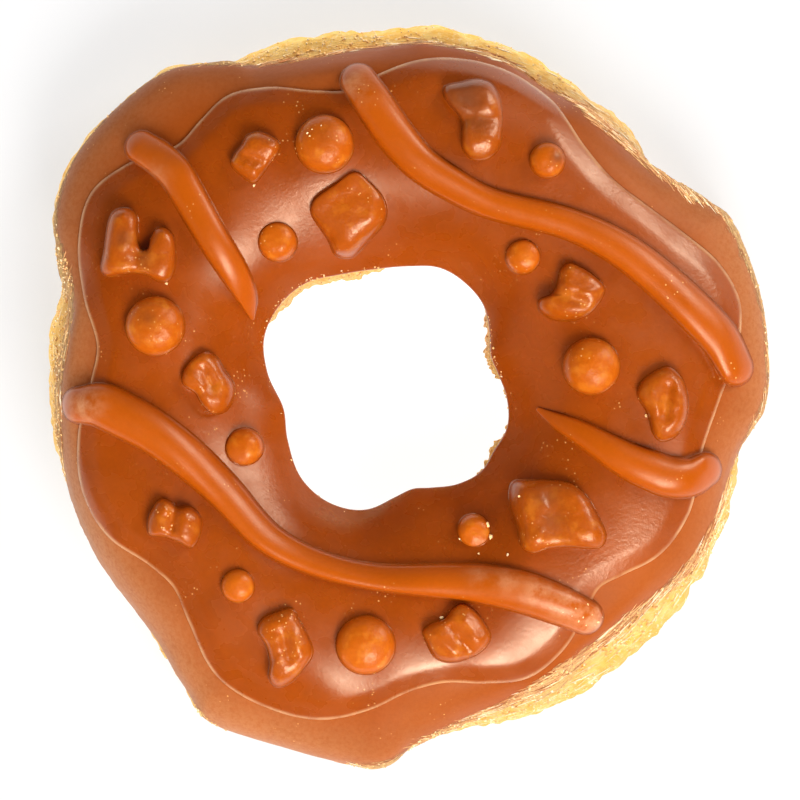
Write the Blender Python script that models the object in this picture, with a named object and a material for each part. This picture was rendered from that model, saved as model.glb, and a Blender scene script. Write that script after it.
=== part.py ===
"""A glazed ring doughnut for dogs, 100 mm long, as separate solids.

A pressed dough ring carries a smooth glaze coat. A second, wavy layer of icing lies on the coat, with four
thick strands of drizzle fused to it, and ten balls and eleven chunks stand on the icing.
Plan angles run anticlockwise from +X. Sizes here are in millimetres until a mesh is made.
"""

import math

import bmesh
import bpy
import numpy as np

MM = 0.001

# Sections
GAP = 0.3
RIM_HEIGHT = 11.0
COAT_THICKNESS = 2.2
ICING_THICKNESS = 1.2
ICING_TOP = GAP + ICING_THICKNESS
ROUNDNESS = 2.2
EDGE_LOW, EDGE_HIGH = 7.2, 9.6
BARE_DOUGH = 2.0
HOLE_EDGE_HEIGHT = 8.2
ICING_HOLE_ANGLE = 5.0
DOUGH_BELLY_HEIGHT = 5.2
DOUGH_FOOT_HEIGHT = 1.7
DOUGH_BASE_INSET, DOUGH_FOOT_INSET = 4.4, 1.5
DOUGH_SHOULDER_INSET, DOUGH_SHOULDER_DROP = 0.4, 0.5
DOUGH_UNDER_COAT = 0.6
HOLE_BASE_INSET, HOLE_FOOT_INSET = 3.4, 1.1
HOLE_SHOULDER_INSET, HOLE_SHOULDER_DROP = 0.4, 0.9
DOUGH_RELIEF = 0.3
COAT_RIM_INSET, COAT_RIM_BULGE, COAT_RIM_RISE = 1.3, 0.2, 0.7
COAT_HOLE_LIP, COAT_HOLE_INSET = 0.2, 1.3
ICING_RIM_TOP, ICING_RIM_FOOT = 0.45, 0.35
STEPS = 88
UNDER_TURNS = np.linspace(0, 180, 6)
ICING_POINTS_ABOVE, ICING_POINTS_BELOW = 8, 7

# The top of the dome is a smooth ring of the longest waves. Beyond this share of its half width, the dome
# follows the edges
DOME_WAVES = 2
RIM_SHARE = 0.55
DOME_TRIES = 16

# Height of the coat's dome above its rim, round the ring
DOME_HEIGHTS = [(20, 11.6), (75, 12.0), (140, 11.7), (215, 12.1), (300, 11.6)]

# Outer edge of the glaze coat
COAT_EDGE = [
    (0, 48.3), (10, 48.95), (25, 49.5), (31, 48.9), (37, 46.9), (43, 45.2), (52, 45.2), (65, 45.3),
    (75, 47.1), (88, 47.6), (98, 47.0), (108, 47.7), (116, 49.6), (120, 51.9), (125, 54.4), (138, 55.2),
    (149, 54.5), (155, 52.3), (160, 50.0), (166, 47.1), (180, 47.4), (195, 47.4), (217, 46.6),
    (227, 47.7), (232, 49.2), (237, 51.1), (245, 50.6), (253, 50.0), (260, 50.0), (266, 50.1), (271, 47.2),
    (277, 45.2), (288, 43.7), (295, 44.2), (308, 42.5), (320, 43.2), (334, 45.0), (346, 44.7),
    (354, 46.3),
]

# Outer edge of the dough, which stands out beyond the coat at the back and at the lower right
DOUGH_EDGE = [
    (0, 47.8), (15, 48.7), (27, 49.6), (33, 47.6), (44, 45.5), (51, 47.0), (60, 47.3), (67, 48.4),
    (78, 49.35), (87, 50.2), (95, 49.7), (104, 50.6), (114, 51.1), (119, 51.8), (123, 53.6), (127, 55.1),
    (139, 55.4), (150, 54.5), (155, 52.5), (160, 50.1), (165, 49.3), (178, 48.6), (190, 48.0),
    (200, 47.0), (217, 46.2), (225, 47.9), (232, 49.3), (238, 51.2), (246, 50.3), (264, 49.8),
    (270, 47.5), (276, 45.9), (284, 45.8), (297, 46.4), (310, 46.2), (322, 47.0), (336, 46.3), (349, 45.6),
]

# The hole, a rounded square
HOLE_EDGE = [
    (0, 13.2), (12, 12.55), (28, 12.55), (38, 13.9), (50, 15.8), (62, 16.9), (76, 17.7), (90, 17.4),
    (105, 17.6), (120, 18.75), (132, 20.4), (147, 21.1), (158, 20.8), (170, 19.2), (185, 16.85),
    (200, 17.2), (219, 18.1), (235, 17.7), (250, 16.2), (262, 13.8), (272, 12.55), (284, 12.7),
    (300, 13.6), (315, 14.1), (327, 13.7), (342, 13.95),
]

# How far the dough reaches into the hole past the icing
DOUGH_IN_HOLE = [
    (0, -0.6), (15, 0.2), (30, 0.5), (42, 0.3), (55, -0.6), (95, -0.6), (110, 0.4), (130, 0.6),
    (145, 0.3), (158, -0.6), (230, -0.6), (305, -0.6), (325, 0.2), (340, -0.3),
]

# Outer edge of the icing, with its lobes
ICING_EDGE = [
    (0, 41.5), (10, 44.8), (16, 45.85), (23, 44.9), (30, 42.6), (38, 40.5), (47, 39.4), (55, 40.5),
    (65, 43.9), (72, 45.1), (79, 45.4), (88, 44.6), (95, 42.8), (101, 41.2), (107, 42.2), (115, 45.1),
    (121, 46.45), (127, 45.7), (132, 45.1), (141, 48.5), (147, 50.0), (155, 48.3), (163, 44.9),
    (171, 41.6), (177, 41.9), (187, 44.0), (196, 45.0), (205, 43.9), (213, 40.9), (219, 40.0),
    (226, 41.7), (235, 44.85), (246, 45.4), (255, 44.45), (263, 41.9), (270, 39.15), (277, 38.2),
    (285, 39.35), (293, 40.6), (301, 39.5), (309, 37.2), (315, 35.8), (320, 36.9), (327, 39.2),
    (337, 40.35), (349, 39.6),
]

# Strands of drizzle: X, Y and width along the middle line
STRANDS = {
    "back": [
        (-6.6, 41.6, 4.6), (-4.4, 38.3, 4.9), (-1.7, 34.3, 4.9), (1.5, 30.7, 4.5), (5.5, 28.0, 4.2),
        (10.4, 25.5, 3.8), (20.6, 22.8, 3.9), (25.6, 20.7, 4.3), (30.5, 17.6, 4.7), (38.2, 10.8, 5.2),
        (41.5, 7.2, 5.2), (43.4, 3.8, 4.8),
    ],
    "left": [
        (-35.4, 33.0, 4.2), (-32.9, 31.4, 4.4), (-30.7, 29.3, 4.4), (-29.1, 26.7, 4.3), (-25.9, 21.1, 4.0),
        (-22.5, 15.5, 3.4), (-21.3, 12.9, 2.4), (-20.7, 10.4, 0.6),
    ],
    "front": [
        (-43.5, -1.2, 4.6), (-40.6, -1.2, 5.6), (-37.0, -2.8, 5.8), (-33.7, -4.6, 5.6), (-29.1, -8.0, 5.2),
        (-24.5, -12.3, 4.6), (-18.4, -18.7, 3.8), (-12.3, -21.9, 3.3), (-4.6, -23.8, 3.2),
        (5.0, -24.4, 4.4), (10.0, -24.8, 5.0), (15.0, -25.8, 5.3), (20.0, -27.6, 5.0), (23.5, -29.2, 4.4),
    ],
    "right": [
        (17.3, -1.8, 0.6), (19.9, -3.4, 2.0), (22.9, -5.0, 3.0), (28.7, -8.4, 4.5), (31.7, -9.7, 5.0),
        (34.6, -10.7, 5.2), (37.5, -10.7, 5.0), (39.3, -9.8, 4.5),
    ],
}
STRAND_HEIGHT = 0.48
STRAND_BED = 0.6
STRAND_SPACING = 3.3
CAP_TURNS = (35, 65, 88)
STRAND_SECTION = [
    (-0.8, 0.0), (-1.0, 0.3), (-0.82, 0.76), (-0.3, 0.99), (0.3, 0.99), (0.82, 0.76), (1.0, 0.3),
    (0.8, 0.0),
]

# Balls: X, Y and radius
BALLS = [
    (-11.0, 33.1, 3.8), (-17.2, 20.3, 2.5), (-33.3, 9.2, 3.85), (-21.6, -6.7, 2.4), (-22.4, -25.0, 2.15),
    (-5.6, -32.8, 3.85), (8.65, -17.75, 2.1), (24.1, 3.9, 3.7), (15.1, 18.3, 2.2), (18.3, 31.0, 2.3),
]
BALL_SIDES = 12
BALL_LATITUDES = [-25, 0, 22, 45, 68]
BALL_LIFT = 0.12

# Chunks: outline, height and the depth of the dent on top. The third has a notch, so its middle is stated.
# A chunk's top is partly level, where the icing under it slopes
CHUNK_LEVEL = 0.55
CHUNK_MIDDLES = {3: (-35.3, 17.9)}
CHUNKS = [
    ([(-20.1, 34.6), (-18.2, 34.1), (-16.9, 33.2), (-17.4, 31.9), (-19.2, 29.0), (-20.4, 28.1), (-22.0, 29.0),
      (-23.3, 30.5), (-22.9, 31.6), (-21.7, 32.7), (-21.5, 33.9)], 2.4, 0.6),
    ([(-7.0, 29.4), (-5.0, 28.0), (-3.1, 25.6), (-3.0, 23.4), (-5.6, 20.2), (-7.6, 18.4), (-9.6, 18.7),
      (-10.6, 20.7), (-12.8, 24.3), (-12.4, 25.7), (-9.6, 27.8)], 2.9, 0.5),
    ([(-38.8, 24.6), (-36.5, 23.8), (-36.1, 22.0), (-35.2, 19.7), (-34.2, 21.0), (-32.6, 21.8), (-31.0, 20.6),
      (-30.6, 18.0), (-31.2, 15.6), (-32.6, 15.2), (-35.1, 16.2), (-37.6, 16.0), (-39.9, 16.0),
      (-40.1, 18.5), (-39.7, 23.2)], 2.7, 0.9),
    ([(-26.8, 5.8), (-25.3, 5.1), (-24.3, 3.4), (-23.1, 1.6), (-23.1, -0.2), (-24.2, -2.0), (-25.8, -2.3),
      (-27.2, -1.0), (-28.0, 0.4), (-29.6, 1.6), (-29.6, 3.0), (-28.4, 4.8)], 2.8, 0.7),
    ([(-32.6, -13.6), (-31.2, -13.9), (-30.0, -14.8), (-28.4, -15.0), (-27.3, -16.3), (-27.5, -18.2),
      (-28.5, -19.8), (-30.0, -19.2), (-32.0, -18.4), (-34.0, -18.2), (-34.2, -16.4),
      (-33.6, -14.8)], 2.6, 0.7),
    ([(-15.3, -28.0), (-14.4, -29.4), (-13.2, -31.6), (-12.6, -33.8), (-13.8, -35.9), (-15.6, -37.8),
      (-17.3, -38.4), (-18.3, -37.4), (-18.2, -35.0), (-18.7, -32.8), (-19.8, -30.8), (-19.2, -29.4),
      (-17.2, -28.4)], 2.8, 0.6),
    ([(7.1, -27.4), (8.6, -28.2), (10.2, -30.2), (10.8, -31.8), (9.8, -33.4), (7.6, -34.6), (5.4, -35.0),
      (3.7, -34.5), (2.5, -32.6), (2.0, -30.9), (3.0, -30.0), (4.8, -29.3), (5.9, -28.0)], 2.9, 0.7),
    ([(14.0, -11.2), (17.5, -11.2), (21.2, -11.6), (23.4, -13.4), (25.2, -16.0), (26.0, -18.2), (25.2, -19.8),
      (21.4, -19.8), (18.4, -20.1), (15.9, -20.6), (15.0, -19.6), (14.4, -16.8), (13.3, -13.6)], 3.1, 0.7),
    ([(34.2, 3.8), (35.8, 2.6), (36.7, 0.4), (36.8, -2.0), (36.1, -4.2), (34.9, -5.5), (33.3, -5.9),
      (32.3, -5.0), (31.6, -2.4), (30.2, 0.2), (30.7, 1.8), (32.4, 3.2)], 2.8, 0.5),
    ([(21.0, 17.4), (22.6, 16.9), (24.6, 15.6), (25.8, 14.2), (25.4, 12.8), (23.6, 10.7), (21.4, 10.0),
      (19.0, 10.2), (17.3, 11.4), (17.3, 12.6), (18.9, 13.4), (19.7, 14.8), (20.1, 16.6)], 2.8, 0.5),
    ([(5.0, 40.8), (7.2, 41.5), (9.6, 41.6), (11.3, 40.7), (11.9, 38.6), (12.2, 35.4), (11.9, 32.6),
      (10.4, 31.1), (8.4, 31.1), (7.0, 32.6), (7.2, 34.8), (7.4, 36.4), (6.0, 37.6), (4.7, 39.4)], 2.6, 0.8),
]
CHUNK_SIDES = 14
CHUNK_RINGS = [(0.5, 0.0), (0.93, 0.0), (1.0, 0.3), (0.93, 0.76), (0.62, 1.0)]

# Colours as red, green and blue, with a roughness each
DOUGH_LOOK = (0.72, 0.46, 0.15), 0.8
COAT_LOOK = (0.30, 0.10, 0.03), 0.35
ICING_LOOK = (0.40, 0.12, 0.02), 0.3
TOPPING_LOOK = (0.62, 0.19, 0.02), 0.35


def closed_interpolation(points):
    """A smooth function of the plan angle through (angle, value) points."""
    angles = np.array([point[0] for point in points], float)
    values = np.array([point[1] for point in points], float)
    angles = np.concatenate([angles[-2:] - 360, angles, angles[:2] + 360])
    values = np.concatenate([values[-2:], values, values[:2]])
    slopes = np.gradient(values, angles)

    def at(angle):
        angle = angle % 360
        index = int(np.searchsorted(angles, angle, side="right")) - 1
        width = angles[index + 1] - angles[index]
        part = (angle - angles[index]) / width
        start = values[index] * (1 + 2 * part) * (1 - part) ** 2
        end = values[index + 1] * (3 - 2 * part) * part**2
        bend = slopes[index] * (1 - part) + slopes[index + 1] * -part
        return start + end + bend * width * part * (1 - part)

    return at


coat_edge = closed_interpolation(COAT_EDGE)
dough_edge = closed_interpolation(DOUGH_EDGE)
hole_edge = closed_interpolation(HOLE_EDGE)
dough_in_hole = closed_interpolation(DOUGH_IN_HOLE)
icing_edge = closed_interpolation(ICING_EDGE)
dome_height = closed_interpolation(DOME_HEIGHTS)


def coat_hole(angle):
    """Radius of the coat's wall in the hole, which the icing covers."""
    return hole_edge(angle) + ICING_TOP


def softened(line):
    """The same closed line with only its longest waves left, one value for each degree."""
    spectrum = np.fft.rfft([line(angle) for angle in range(360)])
    spectrum[DOME_WAVES + 1 :] = 0
    return closed_interpolation(list(enumerate(np.fft.irfft(spectrum))))


soft_edge = softened(coat_edge)
soft_hole = softened(coat_hole)


def dome_centre(angle):
    return (soft_edge(angle) + soft_hole(angle)) / 2


def dome_half_width(angle):
    return (soft_edge(angle) - soft_hole(angle)) / 2


def edge_shift(angle, across):
    """How far the real edges pull the dome off the smooth ring: not at all on top, and fully at the edges."""
    part = max(0.0, (abs(across) - RIM_SHARE) / (1 - RIM_SHARE))
    part = part * part * (3 - 2 * part)
    shift = coat_edge(angle) - soft_edge(angle) if across > 0 else coat_hole(angle) - soft_hole(angle)
    return part * shift


def dome_point(angle, turn, offset):
    """Radius and height on the dome. turn is 0 at the outer rim, 90 at the top and 180 in the hole."""
    along = math.cos(math.radians(turn))
    up = math.sin(math.radians(turn))
    across = math.copysign(abs(along) ** (2 / ROUNDNESS), along)
    radius = dome_centre(angle) + (dome_half_width(angle) + offset) * across + edge_shift(angle, across)
    return radius, RIM_HEIGHT + (dome_height(angle) + offset) * abs(up) ** (2 / ROUNDNESS)


def turn_at_radius(angle, radius, offset):
    """The turn at which the dome passes a radius, found by ever closer tries."""
    across = 0.0
    for _ in range(DOME_TRIES):
        aim = (radius - edge_shift(angle, across) - dome_centre(angle)) / (dome_half_width(angle) + offset)
        across = max(-1.0, min(1.0, (across + aim) / 2))
    return math.degrees(math.acos(math.copysign(abs(across) ** (ROUNDNESS / 2), across)))


def dome_height_at(x, y, offset):
    """Height of the dome above the ground at a place in plan."""
    angle = math.degrees(math.atan2(y, x))
    turn = turn_at_radius(angle, math.hypot(x, y), offset)
    return dome_point(angle, turn, offset)[1]


def coat_edge_height(angle):
    """The coat ends higher where the dough stands out beyond it."""
    bare = (dough_edge(angle) - coat_edge(angle)) / BARE_DOUGH
    return EDGE_LOW + (EDGE_HIGH - EDGE_LOW) * max(0.0, min(1.0, bare))


def dough_section(angle, random):
    edge = coat_edge_height(angle) - GAP
    outer = max(dough_edge(angle), coat_edge(angle) - DOUGH_UNDER_COAT)
    inner = hole_edge(angle) - dough_in_hole(angle)
    relief = random.uniform(-DOUGH_RELIEF, DOUGH_RELIEF, 4)
    under_coat = COAT_THICKNESS + GAP
    side = [
        (outer - DOUGH_BASE_INSET, 0.0),
        (outer - DOUGH_FOOT_INSET + relief[0], DOUGH_FOOT_HEIGHT),
        (outer, DOUGH_BELLY_HEIGHT + relief[1]),
        (outer - DOUGH_SHOULDER_INSET + relief[2] / 2, edge - DOUGH_SHOULDER_DROP),
        (coat_edge(angle) - under_coat, edge),
    ]
    top = [dome_point(angle, turn, -under_coat) for turn in UNDER_TURNS]
    hole = [
        (coat_hole(angle) + under_coat, HOLE_EDGE_HEIGHT - GAP),
        (inner + HOLE_SHOULDER_INSET, HOLE_EDGE_HEIGHT - HOLE_SHOULDER_DROP),
        (inner, DOUGH_BELLY_HEIGHT + relief[3]),
        (inner + HOLE_FOOT_INSET, DOUGH_FOOT_HEIGHT),
        (inner + HOLE_BASE_INSET, 0.0),
    ]
    return side + top + hole


def turns_below_icing(angle):
    """The icing's underside and the coat below it have points at the same turns, so the gap is even."""
    start = turn_at_radius(angle, icing_edge(angle) - ICING_RIM_FOOT, GAP)
    return np.linspace(start, 180 - ICING_HOLE_ANGLE, ICING_POINTS_BELOW)


def coat_section(angle):
    edge = coat_edge_height(angle)
    rim = [
        (coat_edge(angle) - COAT_RIM_INSET, edge),
        (coat_edge(angle) - COAT_RIM_BULGE, edge + COAT_RIM_RISE),
    ]
    covered = turns_below_icing(angle)
    outside = [dome_point(angle, turn, 0) for turn in (0, covered[0] / 2, *covered, 180)]
    lip = [
        (coat_hole(angle) + COAT_HOLE_LIP, HOLE_EDGE_HEIGHT + COAT_RIM_RISE),
        (coat_hole(angle) + COAT_HOLE_INSET, HOLE_EDGE_HEIGHT),
    ]
    inside = [dome_point(angle, turn, -COAT_THICKNESS) for turn in UNDER_TURNS[::-1]]
    return rim + outside + lip + inside


def icing_section(angle):
    edge = icing_edge(angle)
    start = turn_at_radius(angle, edge - ICING_RIM_TOP, ICING_TOP)
    turns_above = np.linspace(start, 180 - ICING_HOLE_ANGLE, ICING_POINTS_ABOVE)
    outside = [dome_point(angle, turn, ICING_TOP) for turn in turns_above]
    inside = [dome_point(angle, turn, GAP) for turn in turns_below_icing(angle)[::-1]]
    lip_height = (outside[0][1] + inside[-1][1]) / 2
    return [(edge, lip_height)] + outside + inside


def add_material(name, look):
    colour, roughness = look
    material = bpy.data.materials.new(name)
    material.use_nodes = True
    shader = material.node_tree.nodes["Principled BSDF"]
    shader.inputs["Base Color"].default_value = (*colour, 1)
    shader.inputs["Roughness"].default_value = roughness
    shader.inputs["Metallic"].default_value = 0
    return material


def add_solid(name, rings, closed, look):
    """An object from rings of points in millimetres: a torus, or a stack that ends in points."""
    mesh = bpy.data.meshes.new(name)
    build = bmesh.new()
    rows = [[build.verts.new((x * MM, y * MM, z * MM)) for x, y, z in ring] for ring in rings]
    pairs = list(zip(rows, rows[1:]))
    if closed:
        pairs.append((rows[-1], rows[0]))
    for row, following in pairs:
        wide = row if len(row) > 1 else following
        for side in range(len(wide)):
            corners = [row[side % len(row)], row[(side + 1) % len(row)]]
            corners += [following[(side + 1) % len(following)], following[side % len(following)]]
            build.faces.new(list(dict.fromkeys(corners)))
    bmesh.ops.recalc_face_normals(build, faces=build.faces)
    bmesh.ops.triangulate(build, faces=build.faces)
    build.to_mesh(mesh)
    build.free()
    mesh.shade_smooth()
    mesh.set_sharp_from_angle(angle=math.radians(50))
    mesh.materials.append(add_material(name, look))
    solid = bpy.data.objects.new(name, mesh)
    bpy.context.scene.collection.objects.link(solid)
    return solid


def ring_solid(name, section, look):
    """A closed ring: a section of (radius, height) points at each plan angle."""
    rings = []
    for step in range(STEPS):
        angle = step * 360 / STEPS
        cos, sin = math.cos(math.radians(angle)), math.sin(math.radians(angle))
        rings.append([(radius * cos, radius * sin, height) for radius, height in section(angle)])
    return add_solid(name, rings, True, look)


def curve_part(before, start, end, after, parts):
    """Points on a centripetal Catmull-Rom curve between start and end."""
    corners = np.array([before, start, end, after])
    steps = np.linalg.norm(np.diff(corners[:, :2], axis=0), axis=1) ** 0.5
    knots = np.concatenate([[0], np.cumsum(steps)])
    place = (knots[1] + parts * (knots[2] - knots[1]))[:, None]

    def blend(first, last, low, high):
        return (first * (knots[high] - place) + last * (place - knots[low])) / (knots[high] - knots[low])

    near = [blend(corners[i], corners[i + 1], i, i + 1) for i in range(3)]
    far = [blend(near[i], near[i + 1], i, i + 2) for i in range(2)]
    return blend(far[0], far[1], 1, 2)


def smooth_line(points, spacing):
    """Points about a spacing apart on a smooth curve through the given points."""
    points = np.array(points, float)
    padded = np.vstack([2 * points[0] - points[1], points, 2 * points[-1] - points[-2]])
    line = []
    for before, start, end, after in zip(padded, padded[1:], padded[2:], padded[3:]):
        count = max(1, round(np.linalg.norm((end - start)[:2]) / spacing))
        line.append(curve_part(before, start, end, after, np.arange(count) / count))
    return np.vstack(line + [points[-1:]])


def round_end(middle, outward, half):
    """Stations that close a strand with a half circle in plan."""
    turns = np.radians(CAP_TURNS)
    return [(middle + outward * half * math.sin(turn), half * math.cos(turn)) for turn in turns]


def strand_solid(name, points):
    """A strand laid over the dome, with rounded ends."""
    line = smooth_line(points, STRAND_SPACING)
    middles, halves = line[:, :2], line[:, 2] / 2
    runs = np.gradient(middles, axis=0)
    runs /= np.linalg.norm(runs, axis=1)[:, None]
    first = round_end(middles[0], -runs[0], halves[0])[::-1]
    last = round_end(middles[-1], runs[-1], halves[-1])
    stations = first + list(zip(middles, halves)) + last
    runs = [runs[0]] * len(first) + list(runs) + [runs[-1]] * len(last)
    rings = []
    for (middle, half), run in zip(stations, runs):
        across = np.array((run[1], -run[0]))
        rise = ICING_TOP - STRAND_BED + 2 * half * STRAND_HEIGHT
        ring = []
        for side, up in STRAND_SECTION:
            x, y = middle + across * side * half
            ring.append((x, y, dome_height_at(x, y, 0) + STRAND_BED + up * rise))
        rings.append(ring)
    tips = [[tuple(np.mean(ring, axis=0))] for ring in (rings[0], rings[-1])]
    return add_solid(name, [tips[0]] + rings + [tips[1]], False, ICING_LOOK)


def fuse(body, pieces):
    """Joins the pieces to the body by one union."""
    group = bpy.data.collections.new("to_fuse")
    bpy.context.scene.collection.children.link(group)
    for piece in pieces:
        bpy.context.scene.collection.objects.unlink(piece)
        group.objects.link(piece)
    union = body.modifiers.new("union", "BOOLEAN")
    union.operation = "UNION"
    union.operand_type = "COLLECTION"
    union.collection = group
    bpy.context.view_layer.objects.active = body
    bpy.ops.object.modifier_apply(modifier=union.name)
    for piece in pieces:
        bpy.data.objects.remove(piece)
    bpy.data.collections.remove(group)


def ball_solid(name, x, y, radius):
    """A ball sunk to its middle in the icing. Where the icing slopes up, the rings stay just above it."""
    turns = np.arange(BALL_SIDES) * 2 * math.pi / BALL_SIDES
    middle = dome_height_at(x, y, ICING_TOP) + GAP
    stack = [[(x, y, middle)]]
    for number, latitude in enumerate(BALL_LATITUDES):
        reach = radius * math.cos(math.radians(latitude))
        up = radius * math.sin(math.radians(latitude))
        ring = []
        for px, py in zip(x + reach * np.cos(turns), y + reach * np.sin(turns)):
            lowest = dome_height_at(px, py, ICING_TOP) + GAP + number * BALL_LIFT
            ring.append((px, py, max(lowest, middle + up)))
        stack.append(ring)
    stack.append([(x, y, middle + radius)])
    return add_solid(name, stack, False, TOPPING_LOOK)


def chunk_solid(name, outline, middle, rise, dent):
    """A chunk on the icing: rings that shrink from the outline towards its middle."""
    stack = []
    level = dome_height_at(*np.mean(outline, axis=0), ICING_TOP)
    for scale, part in [(0.0, 0.0)] + CHUNK_RINGS + [(0.0, 1.0 - dent / rise)]:
        plan = middle + (outline - middle) * scale if scale else [middle]
        share = CHUNK_LEVEL * part
        ring = []
        for x, y in plan:
            ground = dome_height_at(x, y, ICING_TOP) * (1 - share) + level * share
            ring.append((x, y, ground + GAP + part * rise))
        stack.append(ring)
    return add_solid(name, stack, False, TOPPING_LOOK)


def smooth_outline(corners, sides):
    """A closed outline of evenly spaced points on a smooth curve through the corners."""
    corners = np.array(corners, float)
    parts = np.linspace(0, 1, 8, endpoint=False)
    count = len(corners)
    loop = [
        curve_part(corners[i - 1], corners[i], corners[(i + 1) % count], corners[(i + 2) % count], parts)
        for i in range(count)
    ]
    loop = np.vstack(loop + [corners[:1]])
    lengths = np.concatenate([[0], np.cumsum(np.linalg.norm(np.diff(loop, axis=0), axis=1))])
    wanted = np.arange(sides) * lengths[-1] / sides
    return np.stack([np.interp(wanted, lengths, loop[:, axis]) for axis in range(2)], axis=1)


for old in list(bpy.data.objects):
    bpy.data.objects.remove(old)

relief = np.random.default_rng(5)
ring_solid("dough_ring", lambda angle: dough_section(angle, relief), DOUGH_LOOK)
ring_solid("glaze_coat", coat_section, COAT_LOOK)
icing = ring_solid("icing_top", icing_section, ICING_LOOK)
fuse(icing, [strand_solid(f"strand_{side}", points) for side, points in STRANDS.items()])

for number, (x, y, radius) in enumerate(BALLS, 1):
    ball_solid(f"ball_{number:02d}", x, y, radius)

for number, (corners, rise, dent) in enumerate(CHUNKS, 1):
    outline = smooth_outline(corners, CHUNK_SIDES)
    middle = np.array(CHUNK_MIDDLES.get(number, np.mean(outline, axis=0)))
    chunk_solid(f"chunk_{number:02d}", outline, middle, rise, dent)
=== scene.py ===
# %% [markdown]
# # A glazed ring doughnut for dogs
#
# The real treat is a pressed dough ring about 100 mm long. Its upper half is dipped in a smooth
# caramel-coloured glaze, and a second, wavy layer of icing is spread on that. Four thick strands of
# drizzle, ten round pieces and eleven broken chunks lie on the icing, and all of them are glazed in the
# same colour.
#
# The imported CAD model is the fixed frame. It gives the places and sizes, and this script gives the looks.

import math

import bpy
import numpy as np
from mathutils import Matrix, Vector
from mathutils.bvhtree import BVHTree


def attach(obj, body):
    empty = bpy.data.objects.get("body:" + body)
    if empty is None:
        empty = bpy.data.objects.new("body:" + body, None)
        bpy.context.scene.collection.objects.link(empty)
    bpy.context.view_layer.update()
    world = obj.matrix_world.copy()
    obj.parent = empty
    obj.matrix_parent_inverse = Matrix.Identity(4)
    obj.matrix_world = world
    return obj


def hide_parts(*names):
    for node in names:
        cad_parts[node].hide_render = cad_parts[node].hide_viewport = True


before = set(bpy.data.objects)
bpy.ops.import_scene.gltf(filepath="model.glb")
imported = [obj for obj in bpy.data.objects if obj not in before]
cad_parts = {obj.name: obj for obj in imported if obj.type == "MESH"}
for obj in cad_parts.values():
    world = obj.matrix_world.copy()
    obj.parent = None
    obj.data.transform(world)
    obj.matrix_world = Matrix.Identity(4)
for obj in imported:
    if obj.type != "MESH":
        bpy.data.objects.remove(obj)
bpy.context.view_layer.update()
print("The frame holds", len(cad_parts), "nodes")

# %% [markdown]
# ## Sizes
#
# Sizes are in millimetres here, as a baker would measure them, and become metres when a mesh is made. They
# are the same values as in the CAD source: the dough stands 11 mm high at the coat's rim, and the coat's
# dome rises about 12 mm more above it. Plan angles run anticlockwise from +X.

# %% Sizes of the layers
MM = 0.001
RIM_HEIGHT = 11.0
COAT_THICKNESS = 2.2
ICING_TOP = 1.5
ROUNDNESS = 2.2
EDGE_LOW, EDGE_HIGH = 7.2, 9.6
HOLE_EDGE_HEIGHT = 8.2
HOLE_LEVEL = 0.35
HOLE_SLOPE = 2.4
ICING_HOLE_HEIGHT = 12.4
DOME_HEIGHTS = [(20, 11.6), (75, 12.0), (140, 11.7), (215, 12.1), (300, 11.6)]
print("The icing reaches about", RIM_HEIGHT + DOME_HEIGHTS[1][1] + ICING_TOP, "mm")

# %% [markdown]
# ## Edges seen from above
#
# Each edge is a list of plan angles and radii, read off the photograph at the height of that edge. A
# smooth closed line runs through them. Many points are used where the edge turns sharply, as at the corner
# at lower left.

# %% Edge of the glaze coat
COAT_EDGE = [
    (0, 48.3), (5, 48.7), (10, 48.95), (15, 49.25), (20, 49.4), (25, 49.5), (28, 49.6), (30, 49.4),
    (31, 49.0), (33, 48.2), (35, 47.4), (38, 46.7), (40, 46.0), (42, 45.5), (45, 45.1), (50, 45.0),
    (55, 45.6), (58, 45.8), (63, 45.2), (66, 45.3), (70, 46.0), (72, 46.6), (76, 47.2), (80, 47.4),
    (84, 47.6), (88, 47.7), (90, 47.4), (95, 47.1), (100, 47.05), (105, 47.3), (110, 48.0), (113, 48.6),
    (115, 49.1), (118, 50.9), (122, 52.6), (126, 54.2), (130, 54.8), (134, 55.0), (140, 55.2), (145, 55.0),
    (150, 54.2), (154, 53.0), (157, 51.4), (160, 50.0), (162, 48.9), (165, 47.3), (170, 47.0), (175, 47.3),
    (180, 47.4), (190, 47.4), (198, 47.3), (206, 47.15), (213, 46.8), (219, 46.65), (225, 47.2),
    (230, 48.6), (234, 49.8), (237, 51.1), (240, 51.2), (244, 50.7), (250, 50.1), (255, 50.0), (260, 50.05),
    (266, 50.1), (268, 49.2), (270, 47.6), (272, 46.8), (276, 45.6), (280, 44.5), (286, 43.9), (290, 43.6),
    (293, 44.3), (299, 44.0), (305, 42.5), (308, 42.5), (315, 42.7), (320, 43.2), (325, 44.1), (330, 45.0),
    (336, 45.0), (342, 44.7), (346, 44.6), (350, 45.0), (354, 46.3), (357, 47.7),
]
print("Coat edge:", len(COAT_EDGE), "points")

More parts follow.
